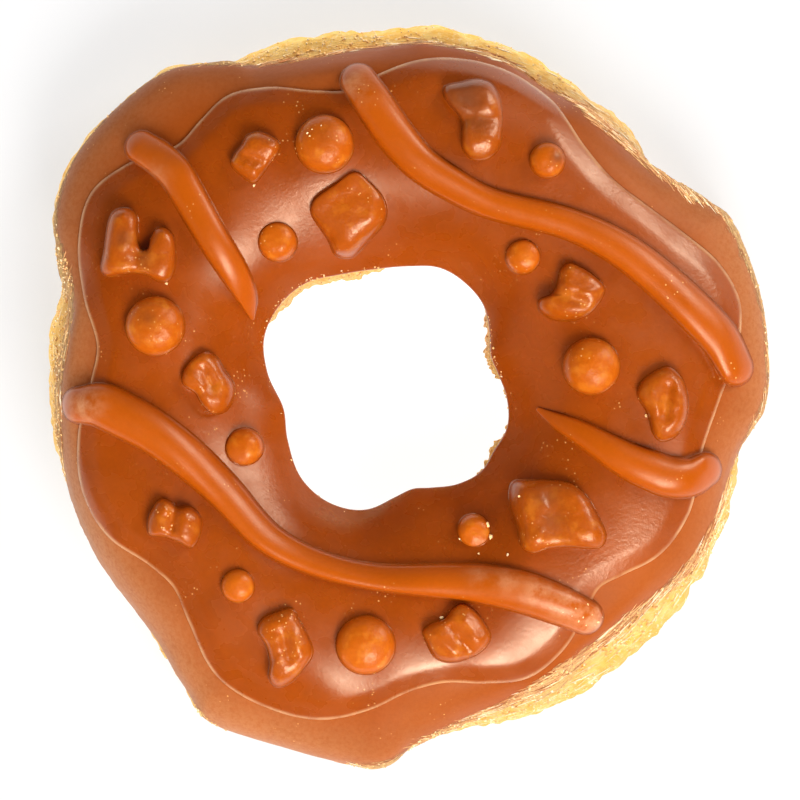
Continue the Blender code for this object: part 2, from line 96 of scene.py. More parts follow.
# %% Edge of the dough
DOUGH_EDGE = [
    (0, 47.8), (10, 48.3), (20, 48.9), (25, 49.7), (28, 49.8), (31, 48.9), (35, 46.9), (40, 45.6),
    (44, 45.4), (46, 45.8), (50, 46.8), (55, 47.25), (58, 47.1), (62, 47.9), (67, 48.35), (72, 49.1),
    (80, 49.5), (87, 50.2), (90, 49.8), (95, 49.7), (100, 50.25), (105, 50.7), (110, 51.1), (115, 51.0),
    (118, 51.2), (120, 52.1), (123, 53.6), (126, 54.9), (130, 55.25), (135, 55.4), (140, 55.5), (146, 55.2),
    (151, 54.5), (154, 53.4), (158, 50.9), (163, 49.1), (170, 49.1), (175, 48.8), (180, 48.5), (190, 48.0),
    (195, 47.6), (200, 47.0), (210, 46.7), (217, 46.5), (220, 47.0), (225, 47.9), (228, 48.5), (232, 49.4),
    (236, 51.2), (240, 51.4), (243, 51.0), (248, 50.1), (256, 49.8), (264, 49.8), (268, 48.9), (271, 47.1),
    (276, 45.9), (280, 45.7), (286, 46.0), (293, 46.3), (299, 46.5), (305, 46.4), (315, 46.5), (320, 46.8),
    (323, 47.0), (326, 46.3), (328, 46.8), (333, 46.4), (339, 46.3), (345, 46.0), (350, 45.6), (355, 46.2),
]
print("Dough edge:", len(DOUGH_EDGE), "points")

# %% Edges round the hole
HOLE_EDGE = [
    (0, 13.2), (12, 12.55), (28, 12.55), (38, 13.9), (50, 15.8), (62, 16.9), (76, 17.7), (90, 17.4),
    (105, 17.6), (120, 18.75), (132, 20.4), (147, 21.1), (158, 20.8), (170, 19.2), (185, 16.85),
    (200, 17.2), (219, 18.1), (235, 17.7), (250, 16.2), (262, 13.8), (272, 12.55), (284, 12.7), (300, 13.6),
    (315, 14.1), (327, 13.7), (342, 13.95),
]
DOUGH_IN_HOLE = [
    (0, -0.6), (15, 0.2), (30, 0.5), (42, 0.3), (55, -0.6), (95, -0.6), (110, 0.4), (130, 0.6), (145, 0.3),
    (158, -0.6), (230, -0.6), (305, -0.6), (325, 0.2), (340, -0.3),
]
print("Hole edge:", len(HOLE_EDGE), "points")

# %% Edge of the icing
ICING_EDGE = [
    (0, 41.5), (10, 44.8), (16, 45.85), (23, 44.9), (30, 42.6), (38, 40.5), (47, 39.4), (55, 40.5),
    (65, 43.9), (72, 45.1), (79, 45.4), (88, 44.6), (95, 42.8), (101, 41.2), (107, 42.2), (115, 45.1),
    (121, 46.45), (127, 45.7), (132, 45.1), (141, 48.5), (147, 50.0), (155, 48.3), (163, 44.9), (171, 41.6),
    (177, 41.9), (187, 44.0), (196, 45.0), (205, 43.9), (213, 40.9), (219, 40.0), (226, 41.7), (235, 44.85),
    (246, 45.4), (255, 44.45), (263, 41.9), (270, 39.15), (277, 38.2), (285, 39.35), (293, 40.6),
    (301, 39.5), (309, 37.2), (315, 35.8), (320, 36.9), (327, 39.2), (337, 40.35), (349, 39.6),
]
print("Icing edge:", len(ICING_EDGE), "points")

# %% [markdown]
# The line through the measured points has to be smooth and must not swing past them, so it is a cubic curve
# whose slope at each point is taken from its two neighbours.

# %% Smooth closed lines
def closed_line(points):
    """A smooth value at any plan angle in degrees, through (angle, value) points."""
    angles = np.array([point[0] for point in points], float)
    values = np.array([point[1] for point in points], float)
    angles = np.concatenate([angles[-2:] - 360, angles, angles[:2] + 360])
    values = np.concatenate([values[-2:], values, values[:2]])
    slopes = np.gradient(values, angles)

    def at(angle):
        angle = np.asarray(angle, float) % 360
        index = np.searchsorted(angles, angle, side="right") - 1
        width = angles[index + 1] - angles[index]
        part = (angle - angles[index]) / width
        start = values[index] * (1 + 2 * part) * (1 - part) ** 2
        end = values[index + 1] * (3 - 2 * part) * part**2
        bend = slopes[index] * (1 - part) - slopes[index + 1] * part
        return start + end + bend * width * part * (1 - part)

    return at


coat_edge = closed_line(COAT_EDGE)
dough_edge = closed_line(DOUGH_EDGE)
hole_edge = closed_line(HOLE_EDGE)
dough_in_hole = closed_line(DOUGH_IN_HOLE)
icing_edge = closed_line(ICING_EDGE)
dome_rise = closed_line(DOME_HEIGHTS)
print("Coat edge at 0 degrees:", float(coat_edge(0)), "mm")

# %% [markdown]
# ## The dome
#
# Everything lies on one dome. Cut through the ring, it is a rounded arch from the outer rim over the top
# into the hole. Its top is a smooth, nearly round ring, and only near its edges does it follow their bulges
# and dents. The same functions as in the CAD source give a point on it, and its height above any place in
# plan, so that each piece sits exactly on what carries it.

# %% Places in plan and the smooth ring
DOME_WAVES = 2
RIM_SHARE = 0.55


def polar(x, y):
    """Plan angle in degrees and radius of a place."""
    return np.degrees(np.arctan2(y, x)), np.hypot(x, y)


def plan_place(angle, radius):
    """X and Y of a place that is given by its plan angle and radius."""
    turn = np.radians(angle)
    return radius * np.cos(turn), radius * np.sin(turn)


def eased(part):
    """A share from 0 to 1 that starts and ends gently."""
    return part * part * (3 - 2 * part)


def coat_hole(angle):
    return hole_edge(angle) + ICING_TOP


def softened(line):
    """The same closed line with only its longest waves left, one value for each degree."""
    spectrum = np.fft.rfft(line(np.arange(360)))
    spectrum[DOME_WAVES + 1 :] = 0
    return closed_line(list(enumerate(np.fft.irfft(spectrum))))


soft_edge = softened(coat_edge)
soft_hole = softened(coat_hole)


def ring_shape(angle):
    """Middle radius and half width of the smooth ring."""
    return (soft_edge(angle) + soft_hole(angle)) / 2, (soft_edge(angle) - soft_hole(angle)) / 2


def edge_shift(angle, across):
    """How far the real edges pull the surface off the smooth ring: none on top, all of it at the edges."""
    outer = eased(np.clip((across - RIM_SHARE) / (1 - RIM_SHARE), 0, 1))
    inner = eased(np.clip((-across - RIM_SHARE) / (1 - RIM_SHARE), 0, 1))
    return outer * (coat_edge(angle) - soft_edge(angle)) + inner * (coat_hole(angle) - soft_hole(angle))


print("The smooth ring is", round(2 * float(ring_shape(0)[1]), 1), "mm wide at 0 degrees")

# %% The dome as functions
SEARCH_STEPS = 16


def dome_across(angle, radius, offset):
    """Place across the ring, found by ever closer tries: 1 at the outer rim, 0 on top, -1 at the hole."""
    centre, half_width = ring_shape(angle)
    across = np.clip((radius - centre) / (half_width + offset), -1, 1)
    for _ in range(SEARCH_STEPS):
        aim = (radius - edge_shift(angle, across) - centre) / (half_width + offset)
        across = np.clip((across + aim) / 2, -1, 1)
    return across


def dome_level(across):
    """Height as a share of the dome's rise. The outer side is round, the inner side slopes to the hole."""
    outer = (1 - np.clip(across, 0, 1) ** ROUNDNESS) ** (1 / ROUNDNESS)
    inner = 1 - (1 - HOLE_LEVEL) * np.clip(-across, 0, 1) ** HOLE_SLOPE
    return np.where(across > 0, outer, inner)


def dome_point(angle, turn, offset):
    """Radius and height on the dome: turn is 0 at the outer rim, 90 at the top and 180 at the hole."""
    along = np.cos(np.radians(turn))
    across = np.sign(along) * np.abs(along) ** (2 / ROUNDNESS)
    centre, half_width = ring_shape(angle)
    height = (dome_rise(angle) + offset) * dome_level(across)
    return centre + (half_width + offset) * across + edge_shift(angle, across), RIM_HEIGHT + height


def turn_at(angle, radius, offset):
    """The turn at which the dome passes a radius."""
    across = dome_across(angle, radius, offset)
    return np.degrees(np.arccos(np.sign(across) * np.abs(across) ** (ROUNDNESS / 2)))


def dome_height(x, y, offset):
    """Height of the dome above a place, or of a layer that lies offset higher."""
    angle, radius = polar(x, y)
    level = dome_level(dome_across(angle, radius, offset))
    return RIM_HEIGHT + (dome_rise(angle) + offset) * level


print("Top of the coat at (0, 30):", round(float(dome_height(0, 30, 0)), 2), "mm")

# %% [markdown]
# ## Waves and the icing's edge
#
# The icing is never quite even. A few long, shallow waves keep its reflections from looking machined. They
# are drawn once, from a fixed seed, so that each run gives the same cake. The icing's edge is a profile of
# reach and rise, from the foot of its low upright rim, over the sloping border, to the full thickness on
# top.

# %% Waves in the icing
WAVE_HEIGHT = 0.05
WAVE_COUNT = 7
WAVE_LENGTHS = (9, 22)


def wave_sum(random, count, lengths):
    """The sum of a few waves in random directions, as a function of a place in plan."""
    waves = [
        (random.uniform(0, math.tau), random.uniform(*lengths), random.uniform(0, math.tau))
        for _ in range(count)
    ]

    def at(x, y):
        total = 0
        for direction, length, phase in waves:
            along = x * math.cos(direction) + y * math.sin(direction)
            total = total + np.sin(math.tau * along / length + phase)
        return total

    return at


waves_on_icing = wave_sum(np.random.default_rng(3), WAVE_COUNT, WAVE_LENGTHS)


def icing_waves(x, y):
    return WAVE_HEIGHT * waves_on_icing(x, y)


print("Wave at (0, 30):", round(float(icing_waves(0, 30)), 3), "mm")

# %% The shape of the icing's edge
LIP_REACH = [0.0, 0.06, 0.18, 0.36, 0.8, 1.3, 1.8, 2.1, 2.35, 2.6, 2.9, 3.3]
LIP_RISE = [0.58, 0.68, 0.79, 0.87, 0.99, 1.14, 1.29, 1.375, 1.43, 1.47, 1.492, 1.5]
LIP_FOOT = [(0.25, 0.1), (0.1, 0.25), (0.0, 0.42)]
BEYOND_LIP = -0.3
COAT_SWELL = 0.4


def edge_stretch(angle):
    """How much longer the way to the icing's edge is along the radius than straight across to it."""
    slope = np.degrees(icing_edge(angle + 0.5) - icing_edge(angle - 0.5)) / icing_edge(angle)
    return np.sqrt(1 + slope**2)


def edge_distance(x, y):
    """How far inside the icing's edge a place is, in plan."""
    angle, radius = polar(x, y)
    return (icing_edge(angle) - radius) / edge_stretch(angle)


def icing_height(x, y):
    """Height of the icing's upper side above the ground."""
    return dome_height(x, y, ICING_TOP) + icing_waves(x, y)


def carrier_height(x, y):
    """Height of whatever is on top at a place: the icing, or the coat beyond its edge."""
    inside = edge_distance(x, y)
    thickness = np.interp(inside, [BEYOND_LIP] + LIP_REACH, [COAT_SWELL] + LIP_RISE)
    share = np.clip(thickness / ICING_TOP, 0, 1) * (inside > 0)
    return dome_height(x, y, thickness) + icing_waves(x, y) * share


print("Top of the icing at (0, 30):", round(float(icing_height(0, 30)), 2), "mm")

# %% [markdown]
# ## A skin over rows of points
#
# Every form here is a stack of closed rows: round the ring for the dough, coat and icing, and round the
# piece for the strands and toppings. Such a stack could be built by extruding a circle again and again, but
# these rows all differ. So a flat grid with one point for each point of the rows is added and rolled into
# shape, and the points that fall together are merged, which closes the seam. The grid brings its own UV
# map, which runs round the piece and across it, so a finish can follow the surface.

# %% Roll a grid into a piece
ANGLES = np.arange(0, 360, 0.4)
MERGE_DISTANCE = 1e-6


def skin(name, rows, closed_across):
    """A mesh object over rows of points in millimetres, shaped (row, point along it, 3)."""
    rows = np.concatenate([rows, rows[:, :1]], axis=1)
    if closed_across:
        rows = np.concatenate([rows, rows[:1]])
    count, length = rows.shape[:2]
    bpy.ops.object.select_all(action="DESELECT")
    bpy.ops.mesh.primitive_grid_add(x_subdivisions=length - 1, y_subdivisions=count - 1, size=2)
    piece = bpy.context.active_object
    piece.name = piece.data.name = name
    flat = np.empty(len(piece.data.vertices) * 3)
    piece.data.vertices.foreach_get("co", flat)
    flat = flat.reshape(-1, 3)
    column = np.rint((flat[:, 0] + 1) / 2 * (length - 1)).astype(int)
    row = np.rint((flat[:, 1] + 1) / 2 * (count - 1)).astype(int)
    piece.data.vertices.foreach_set("co", (rows[row, column] * MM).ravel())
    bpy.ops.object.mode_set(mode="EDIT")
    bpy.ops.mesh.select_all(action="SELECT")
    bpy.ops.mesh.remove_doubles(threshold=MERGE_DISTANCE)
    bpy.ops.mesh.normals_make_consistent(inside=False)
    bpy.ops.mesh.select_all(action="DESELECT")
    bpy.ops.object.mode_set(mode="OBJECT")
    bpy.ops.object.shade_smooth()
    return piece


def ring_skin(name, lines):
    """A piece over closed lines round the ring, shaped (line, radii or heights, point along it)."""
    x, y = plan_place(ANGLES, lines[:, 0])
    return skin(name, np.stack([x, y, lines[:, 1]], axis=-1), True)


def line_at(radius, height):
    """One closed line round the ring from its radii and heights, either of which may be a single number."""
    return np.array([radius + 0 * ANGLES, height + 0 * ANGLES])


print("Each ring has", len(ANGLES), "points round it")

# %% [markdown]
# ## Relief in the dough
#
# The bare dough is pressed from ground fibre and looks like layered bark: ridges that run round the ring,
# torn flakes and pits. Random values on the grid of rows, blurred far along the ring and little across it,
# give that.

# %% Streaky random relief
BLUR_GAIN = 1.3


def blurred(field, reach, axis):
    """Random values blurred along one axis of their grid, about as strong as before."""
    weights = np.hanning(2 * reach + 3)[1:-1]
    total = sum(np.roll(field, step - reach, axis=axis) * weight for step, weight in enumerate(weights))
    return total / np.sqrt((weights**2).sum())


def streaks(random, rows, along, across):
    """Random relief of about unit strength, blurred along the ring and across it."""
    field = random.standard_normal((rows, len(ANGLES)))
    return blurred(blurred(field, along, 1), across, 0) / BLUR_GAIN


print("Streaks are blurred copies of", len(ANGLES), "random values in each row")

# %% [markdown]
# ## The dough
#
# The dough is a torus with a flat base. Its outer side bulges past the coat at the back and at lower right,
# and its relief is strongest there. Under the coat it is plain, because nobody sees it. Its sides are lists
# of pairs: how far out from the edge, or in from the hole, and how high. Its relief is the sum of three
# sets of streaks, each with its strength in millimetres and its reach along the ring and across it.

# %% Relief and profile of the dough
DOUGH_ROWS = 46
DOUGH_STREAKS = [(0.16, 4, 1), (0.1, 2, 0), (0.14, 12, 4)]
DEEPEST, HIGHEST = -0.7, 0.35
WIDEST_AT = 5.4
DOUGH_SIDE = [(-5.5, 0.0), (-4.2, 0.1), (-2.4, 0.7), (-1.0, 2.2), (-0.25, 3.8), (0.0, WIDEST_AT)]
HOLE_SIDE = [(0.5, 7.6), (0.0, 6.4), (-0.1, 5.2), (0.2, 3.6), (1.0, 1.8), (2.2, 0.5), (4.0, 0.0)]
SIDE_PARTS = (0, 1 / 3, 2 / 3)
UNCOVERED, UNCOVERED_AT, UNCOVERED_WIDTH = 0.3, 139, 15
rough = np.random.default_rng(11)
dough_relief = sum(
    strength * streaks(rough, DOUGH_ROWS, along, across) for strength, along, across in DOUGH_STREAKS
)
print("Dough relief reaches", round(float(dough_relief.max()), 2), "mm")

# %% Model the dough
def coat_edge_height(angle):
    """The coat ends higher where the dough stands out beyond it."""
    bare = np.clip((dough_edge(angle) - coat_edge(angle)) / 2, 0, 1)
    return EDGE_LOW + (EDGE_HIGH - EDGE_LOW) * bare


def dough_lines():
    """Lines from the foot up the outer side, over the top under the coat, and down through the hole."""
    edge = coat_edge_height(ANGLES) - 0.1
    shows = np.exp(-(((ANGLES - UNCOVERED_AT) / UNCOVERED_WIDTH) ** 4))
    outer = np.maximum(dough_edge(ANGLES) + UNCOVERED * shows, coat_edge(ANGLES) - 0.5)
    inner = hole_edge(ANGLES) - dough_in_hole(ANGLES)
    corners = [line_at(outer + reach, height) for reach, height in DOUGH_SIDE]
    corners += [line_at(outer - 0.15, (WIDEST_AT + edge) / 2), line_at(outer - 0.7, edge - 0.35)]
    corners.append(line_at(outer - 1.5, edge + 0.1))
    corners.append(line_at(np.minimum(outer - 2.4, coat_edge(ANGLES) - 0.6), edge + 0.2))
    side = [start + (end - start) * part for start, end in zip(corners, corners[1:]) for part in SIDE_PARTS]
    top = [np.array(dome_point(ANGLES, turn, -COAT_THICKNESS)) for turn in (10, 45, 90, 135, 170)]
    hole = [line_at(coat_hole(ANGLES) + COAT_THICKNESS, HOLE_EDGE_HEIGHT)]
    hole += [line_at(inner + reach, height) for reach, height in HOLE_SIDE]
    return np.array(side + [corners[-1]] + top + hole)


lines = dough_lines()
relief = dough_relief[: len(lines)] * (lines[:, 1] > 0.3)
lines[:, 0] += np.clip(relief, DEEPEST, HIGHEST)
dough = ring_skin("dough", lines)
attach(dough, "root")
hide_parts("dough_ring")
print("Dough:", len(dough.data.polygons), "faces")

# %% [markdown]
# ## The glaze coat
#
# The coat is a smooth shell about 2 mm thick. Its rim is rounded where the glaze stopped running, and torn
# and dusty where crumbs stuck in it. The torn stretches get a ragged edge and a streaky surface.

# %% Where the rim of the coat is torn
TORN = [
    (0, 0.15), (15, 0.1), (26, 0.2), (32, 0.5), (38, 1.0), (52, 1.0), (60, 1.0), (72, 0.6), (85, 0.55),
    (100, 0.6), (108, 0.8), (116, 0.7), (121, 0.1), (140, 0.05), (154, 0.15), (160, 0.7), (170, 1.0),
    (182, 0.8), (192, 0.5), (204, 0.3), (216, 0.15), (232, 0.1), (250, 0.05), (266, 0.1), (274, 0.3),
    (283, 0.8), (292, 1.0), (306, 1.0), (320, 0.9), (332, 0.7), (342, 0.5), (350, 0.3),
]
torn = closed_line(TORN)
print("The rim is most torn at", max(TORN, key=lambda point: point[1])[0], "degrees")

# %% Model the glaze coat
COAT_RIM = [(-1.6, 0.05), (-0.9, -0.15), (-0.35, 0.1), (-0.08, 0.6)]
SWELL_FROM, SWELL_OVER = 4, 24
NEAR_RIM = 30
COAT_TOP_TURNS = np.concatenate([np.arange(0, 40, 2.0), np.arange(40, 181, 4.0)])
tear = np.random.default_rng(23)
ragged = 0.20 * blurred(tear.standard_normal(len(ANGLES)), 2, 0) + 0.1 * tear.standard_normal(len(ANGLES))
coat_streaks = 0.055 * streaks(tear, len(COAT_TOP_TURNS), 5, 0)


def coat_lines():
    """Lines from under the rim, over the dome and into the hole, and back along the coat's underside."""
    edge = coat_edge_height(ANGLES)
    radius = coat_edge(ANGLES) + ragged * torn(ANGLES)
    lines = [line_at(radius + reach, edge + rise) for reach, rise in COAT_RIM]
    lines.append(line_at(radius, (edge + 0.9 + RIM_HEIGHT) / 2))
    for number, turn in enumerate(COAT_TOP_TURNS):
        swell = COAT_SWELL * min(1, max(0, turn - SWELL_FROM) / SWELL_OVER)
        line = np.array(dome_point(ANGLES, turn, swell))
        near_rim = np.clip(1 - turn / NEAR_RIM, 0, 1)
        line[0] += (ragged * 0.7 + coat_streaks[number]) * torn(ANGLES) * near_rim
        line[1] += coat_streaks[number] * torn(ANGLES) * near_rim
        lines.append(line)
    lines.append(line_at(coat_hole(ANGLES) + 0.2, HOLE_EDGE_HEIGHT + 0.7))
    lines.append(line_at(coat_hole(ANGLES) + 1.3, HOLE_EDGE_HEIGHT))
    lines += [np.array(dome_point(ANGLES, turn, -COAT_THICKNESS)) for turn in (170, 135, 90, 45, 12)]
    return np.array(lines)


coat = ring_skin("coat", coat_lines())
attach(coat, "root")
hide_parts("glaze_coat")
print("Coat:", len(coat.data.polygons), "faces")

# %% [markdown]
# ## The icing
#
# The icing was spread while it was thick, so it ends in lobes. About 2.5 mm inside the edge its top bends
# down to a smooth sloping border, and the border ends in a low upright rim. That bend is what cuts a
# reflection off in a sharp line. In the hole the icing runs down the wall and ends in a thin rim.

# %% Model the icing
TOP_STEPS = 62
FADE_TO, FADE_OVER = 175, 30
DRIP_EDGE = [(-0.08, -0.16), (-0.02, -0.3)]
ICING_IN_HOLE = [(0.15, ICING_HOLE_HEIGHT + 1), (0.4, ICING_HOLE_HEIGHT + 0.3), (0.9, ICING_HOLE_HEIGHT)]
ICING_UNDERSIDE = -0.4


def icing_line(inside, thickness):
    """The line that lies a distance inside the icing's edge, at a height above the dome."""
    radius = icing_edge(ANGLES) - inside * edge_stretch(ANGLES)
    x, y = plan_place(ANGLES, radius)
    share = min(1, max(0, thickness / ICING_TOP))
    return np.array([radius, dome_height(x, y, thickness) + share * icing_waves(x, y)])


def icing_lines():
    """Lines from the foot of the edge, over the dome, down into the hole and back along the underside."""
    lip = LIP_FOOT + list(zip(LIP_REACH, LIP_RISE)) + [(3.8, ICING_TOP)]
    lines = [icing_line(inside, thickness) for inside, thickness in lip]
    start = turn_at(ANGLES, lines[-1][0], ICING_TOP)
    for step in range(1, TOP_STEPS + 1):
        turn = start + (180 - start) * step / TOP_STEPS
        radius, height = dome_point(ANGLES, turn, ICING_TOP)
        fade = np.clip((FADE_TO - turn) / FADE_OVER, 0, 1)
        lines.append(np.array([radius, height + fade * icing_waves(*plan_place(ANGLES, radius))]))
    for drop in DRIP_EDGE:
        lines.append(lines[-1] + np.reshape(drop, (2, 1)))
    lines += [line_at(hole_edge(ANGLES) + inward, height) for inward, height in ICING_IN_HOLE]
    lines += [np.array(dome_point(ANGLES, turn, ICING_UNDERSIDE)) for turn in (165, 130, 90, 55)]
    lines.append(icing_line(1.6, ICING_UNDERSIDE))
    return np.array(lines)


icing = ring_skin("icing", icing_lines())
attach(icing, "root")
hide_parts("icing_top")
print("Icing:", len(icing.data.polygons), "faces")

# %% [markdown]
# ## Strands of drizzle
#
# A strand is thick drizzle that was laid down in one stroke and has half sunk in. Seen from above, its
# width changes along its middle line, and its ends are round or drawn out to a point. Where it meets the
# icing, the wet glaze has pulled up into a small hollow fillet, and that fillet catches the light as a fine
# line.
#
# The rows of its skin go round the whole strand: first the foot of the fillet, then the wall, then ever
# closer to the middle line, where the last row closes on itself.

# %% Middle lines of the strands: X, Y and width
STRANDS = {
    "back": [
        (-6.6, 41.6, 4.6), (-4.4, 38.3, 4.9), (-1.7, 34.3, 4.9), (1.5, 30.7, 4.5), (5.5, 28.0, 4.2),
        (10.4, 25.5, 3.8), (20.6, 22.8, 3.9), (25.6, 20.7, 4.3), (30.5, 17.6, 4.7), (38.2, 10.8, 5.2),
        (41.5, 7.2, 5.2), (43.4, 3.8, 4.8),
    ],
    "left": [
        (-35.4, 33.0, 4.2), (-32.9, 31.4, 4.4), (-30.7, 29.3, 4.4), (-29.1, 26.7, 4.3), (-25.9, 21.1, 4.0),
        (-22.5, 15.5, 3.4), (-21.3, 12.9, 2.4), (-20.7, 10.4, 0.6),
    ],
    "front": [
        (-43.5, -1.2, 4.6), (-40.6, -1.2, 5.6), (-37.0, -2.8, 5.8), (-33.7, -4.6, 5.6), (-29.1, -8.0, 5.2),
        (-24.5, -12.3, 4.6), (-18.4, -18.7, 3.8), (-12.3, -21.9, 3.3), (-4.6, -23.8, 3.2),
        (5.0, -24.4, 4.4), (10.0, -24.8, 5.0), (15.0, -25.8, 5.3), (20.0, -27.6, 5.0), (23.5, -29.2, 4.4),
    ],
    "right": [
        (17.3, -1.8, 0.6), (19.9, -3.4, 2.0), (22.9, -5.0, 3.0), (28.7, -8.4, 4.5), (31.7, -9.7, 5.0),
        (34.6, -10.7, 5.2), (37.5, -10.7, 5.0), (39.3, -9.8, 4.5),
    ],
}
print("Strands to model:", ", ".join(STRANDS))

# %% Smooth lines through points in plan
STRAND_SPACING = 0.45


def curve_part(before, start, end, after, parts):
    """Points on a centripetal Catmull-Rom curve between start and end."""
    corners = np.array([before, start, end, after])
    steps = np.linalg.norm(np.diff(corners[:, :2], axis=0), axis=1) ** 0.5
    knots = np.concatenate([[0], np.cumsum(steps)])
    place = (knots[1] + parts * (knots[2] - knots[1]))[:, None]

    def between(first, last, low, high):
        return (first * (knots[high] - place) + last * (place - knots[low])) / (knots[high] - knots[low])

    near = [between(corners[i], corners[i + 1], i, i + 1) for i in range(3)]
    far = [between(near[i], near[i + 1], i, i + 2) for i in range(2)]
    return between(far[0], far[1], 1, 2)


def open_line(points, spacing):
    """Points about evenly spaced on a smooth open line, with the width that goes with each."""
    points = np.array(points, float)
    padded = np.vstack([2 * points[0] - points[1], points, 2 * points[-1] - points[-2]])
    line = []
    for before, start, end, after in zip(padded, padded[1:], padded[2:], padded[3:]):
        count = max(1, round(np.linalg.norm((end - start)[:2]) / spacing))
        line.append(curve_part(before, start, end, after, np.arange(count) / count))
    return np.vstack(line + [points[-1:]])


print("The front strand's line has", len(open_line(STRANDS["front"], STRAND_SPACING)), "points")

# %% The fillet at the foot of a raised piece
FILLET_TURNS = np.radians([68, 54, 40, 27, 13, 0])
SINK = 0.06


def fillet_rows(line, ways, width, size, ground):
    """Rows from the foot of the fillet up to the wall, which stands at line + ways * width."""
    rows = []
    for reach, rise in zip(1 - np.cos(FILLET_TURNS), 1 - np.sin(FILLET_TURNS)):
        plan = line + ways * np.reshape(width + reach * size, (-1, 1))
        rows.append(np.column_stack([plan, ground(plan[:, 0], plan[:, 1]) - SINK + rise * size]))
    return rows


print("A fillet has", len(FILLET_TURNS), "rows")

# %% The way round a strand
CAP_TURNS = np.radians(np.arange(-80, 81, 10))


def strand_loop(points):
    """Middles, outward directions and half widths of the points round a strand, with round ends."""
    line = open_line(points, STRAND_SPACING)
    middles, halves = line[:, :2], line[:, 2] / 2
    runs = np.gradient(middles, axis=0)
    runs /= np.linalg.norm(runs, axis=1)[:, None]
    sides = np.stack([runs[:, 1], -runs[:, 0]], axis=1)
    first_cap = [-runs[0] * math.cos(turn) + sides[0] * math.sin(turn) for turn in CAP_TURNS]
    last_cap = [runs[-1] * math.cos(turn) - sides[-1] * math.sin(turn) for turn in CAP_TURNS]
    caps = len(CAP_TURNS)
    spots = np.vstack([middles, [middles[-1]] * caps, middles[::-1], [middles[0]] * caps])
    ways = np.vstack([sides, last_cap, -sides[::-1], first_cap])
    width = np.concatenate([halves, [halves[-1]] * caps, halves[::-1], [halves[0]] * caps])
    return spots, ways, width


print("Round the back strand:", len(strand_loop(STRANDS["back"])[0]), "points")

# %% Model the strands
STRAND_FILLET = 0.45
STRAND_HEIGHT = 0.46
CROWN_TURNS = np.radians([12, 24, 36, 46, 56, 66, 76, 84, 90])
BRIDGE_OUT, BRIDGE_IN = 6.0, 3.0
BRIDGE_SHARE = 2.2
STRAND_UNDERSIDE = 0.6


def bridge_height(x, y):
    """Height of the line that a stiff strand keeps to where it runs out over the icing's edge."""
    part = eased(np.clip((edge_distance(x, y) + BRIDGE_OUT) / (BRIDGE_OUT + BRIDGE_IN), 0, 1))
    return dome_height(x, y, ICING_TOP * part) + icing_waves(x, y) * part


def strand_rows(points):
    """Rows from under the strand, up its fillet and wall, to the crown along its middle line."""
    spots, ways, width = strand_loop(points)
    fillet = np.minimum(STRAND_FILLET, 0.5 * width)
    rows = fillet_rows(spots, ways, width, fillet, carrier_height)
    for turn in CROWN_TURNS:
        plan = spots + ways * (width * math.cos(turn))[:, None]
        near = carrier_height(plan[:, 0], plan[:, 1])
        bridge = bridge_height(plan[:, 0], plan[:, 1])
        ground = near + (bridge - near) * min(1, BRIDGE_SHARE * math.sin(turn))
        rise = 2 * width * STRAND_HEIGHT - fillet
        rows.append(np.column_stack([plan, ground + fillet + rise * math.sin(turn) ** (2 / ROUNDNESS)]))
    under = spots + ways * (width * 0.5)[:, None]
    bottom = np.column_stack([under, dome_height(under[:, 0], under[:, 1], 0) - STRAND_UNDERSIDE])
    floor = np.column_stack([rows[-1][:, :2], bottom[:, 2]])
    return np.array([floor, bottom] + rows)


strands = []
for name, points in STRANDS.items():
    strand = skin("strand_" + name, strand_rows(points), False)
    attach(strand, "root")
    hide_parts("icing_top")
    strands.append(strand)
    print("Strand", name, ":", len(strand.data.polygons), "faces")

# %% [markdown]
# ## Round pieces
#
# The ten round pieces are small balls sunk to their middles and glazed over. Each has the same fillet at
# its foot as a strand. Where the icing slopes, the ball stays a true ball, and the icing rises on its
# uphill side.

# %% Places of the balls: X, Y and radius
BALLS = [
    (-11.0, 33.1, 3.8), (-17.2, 20.3, 2.5), (-33.3, 9.2, 3.85), (-21.6, -6.7, 2.4), (-22.4, -25.0, 2.15),
    (-5.6, -32.8, 3.85), (8.65, -17.75, 2.1), (24.1, 3.9, 3.7), (15.1, 18.3, 2.2), (18.3, 31.0, 2.3),
]
print("Balls to model:", len(BALLS))

# %% Small dents
LUMP_COUNT = 6
LUMP_LENGTHS = (1.2, 3.2)
lumps = np.random.default_rng(31)


def dented(strength):
    """Soft dents for one topping, as a function of a place in plan."""
    waves = wave_sum(lumps, LUMP_COUNT, LUMP_LENGTHS)
    return lambda x, y: strength * waves(x, y) / math.sqrt(LUMP_COUNT)


print("Waves in the dents of a topping:", LUMP_COUNT)

# %% Model the balls
BALL_SIDES = 64
BALL_TURNS = np.radians(np.arange(0, 91, 7.5))
BALL_DENT = 0.035
BALL_FILLET = 0.34
BALL_RISE = 0.86
BALL_SQUARENESS = 2.2
UNDER_SHARE = 0.6
UNDER_DEPTH = 1.0


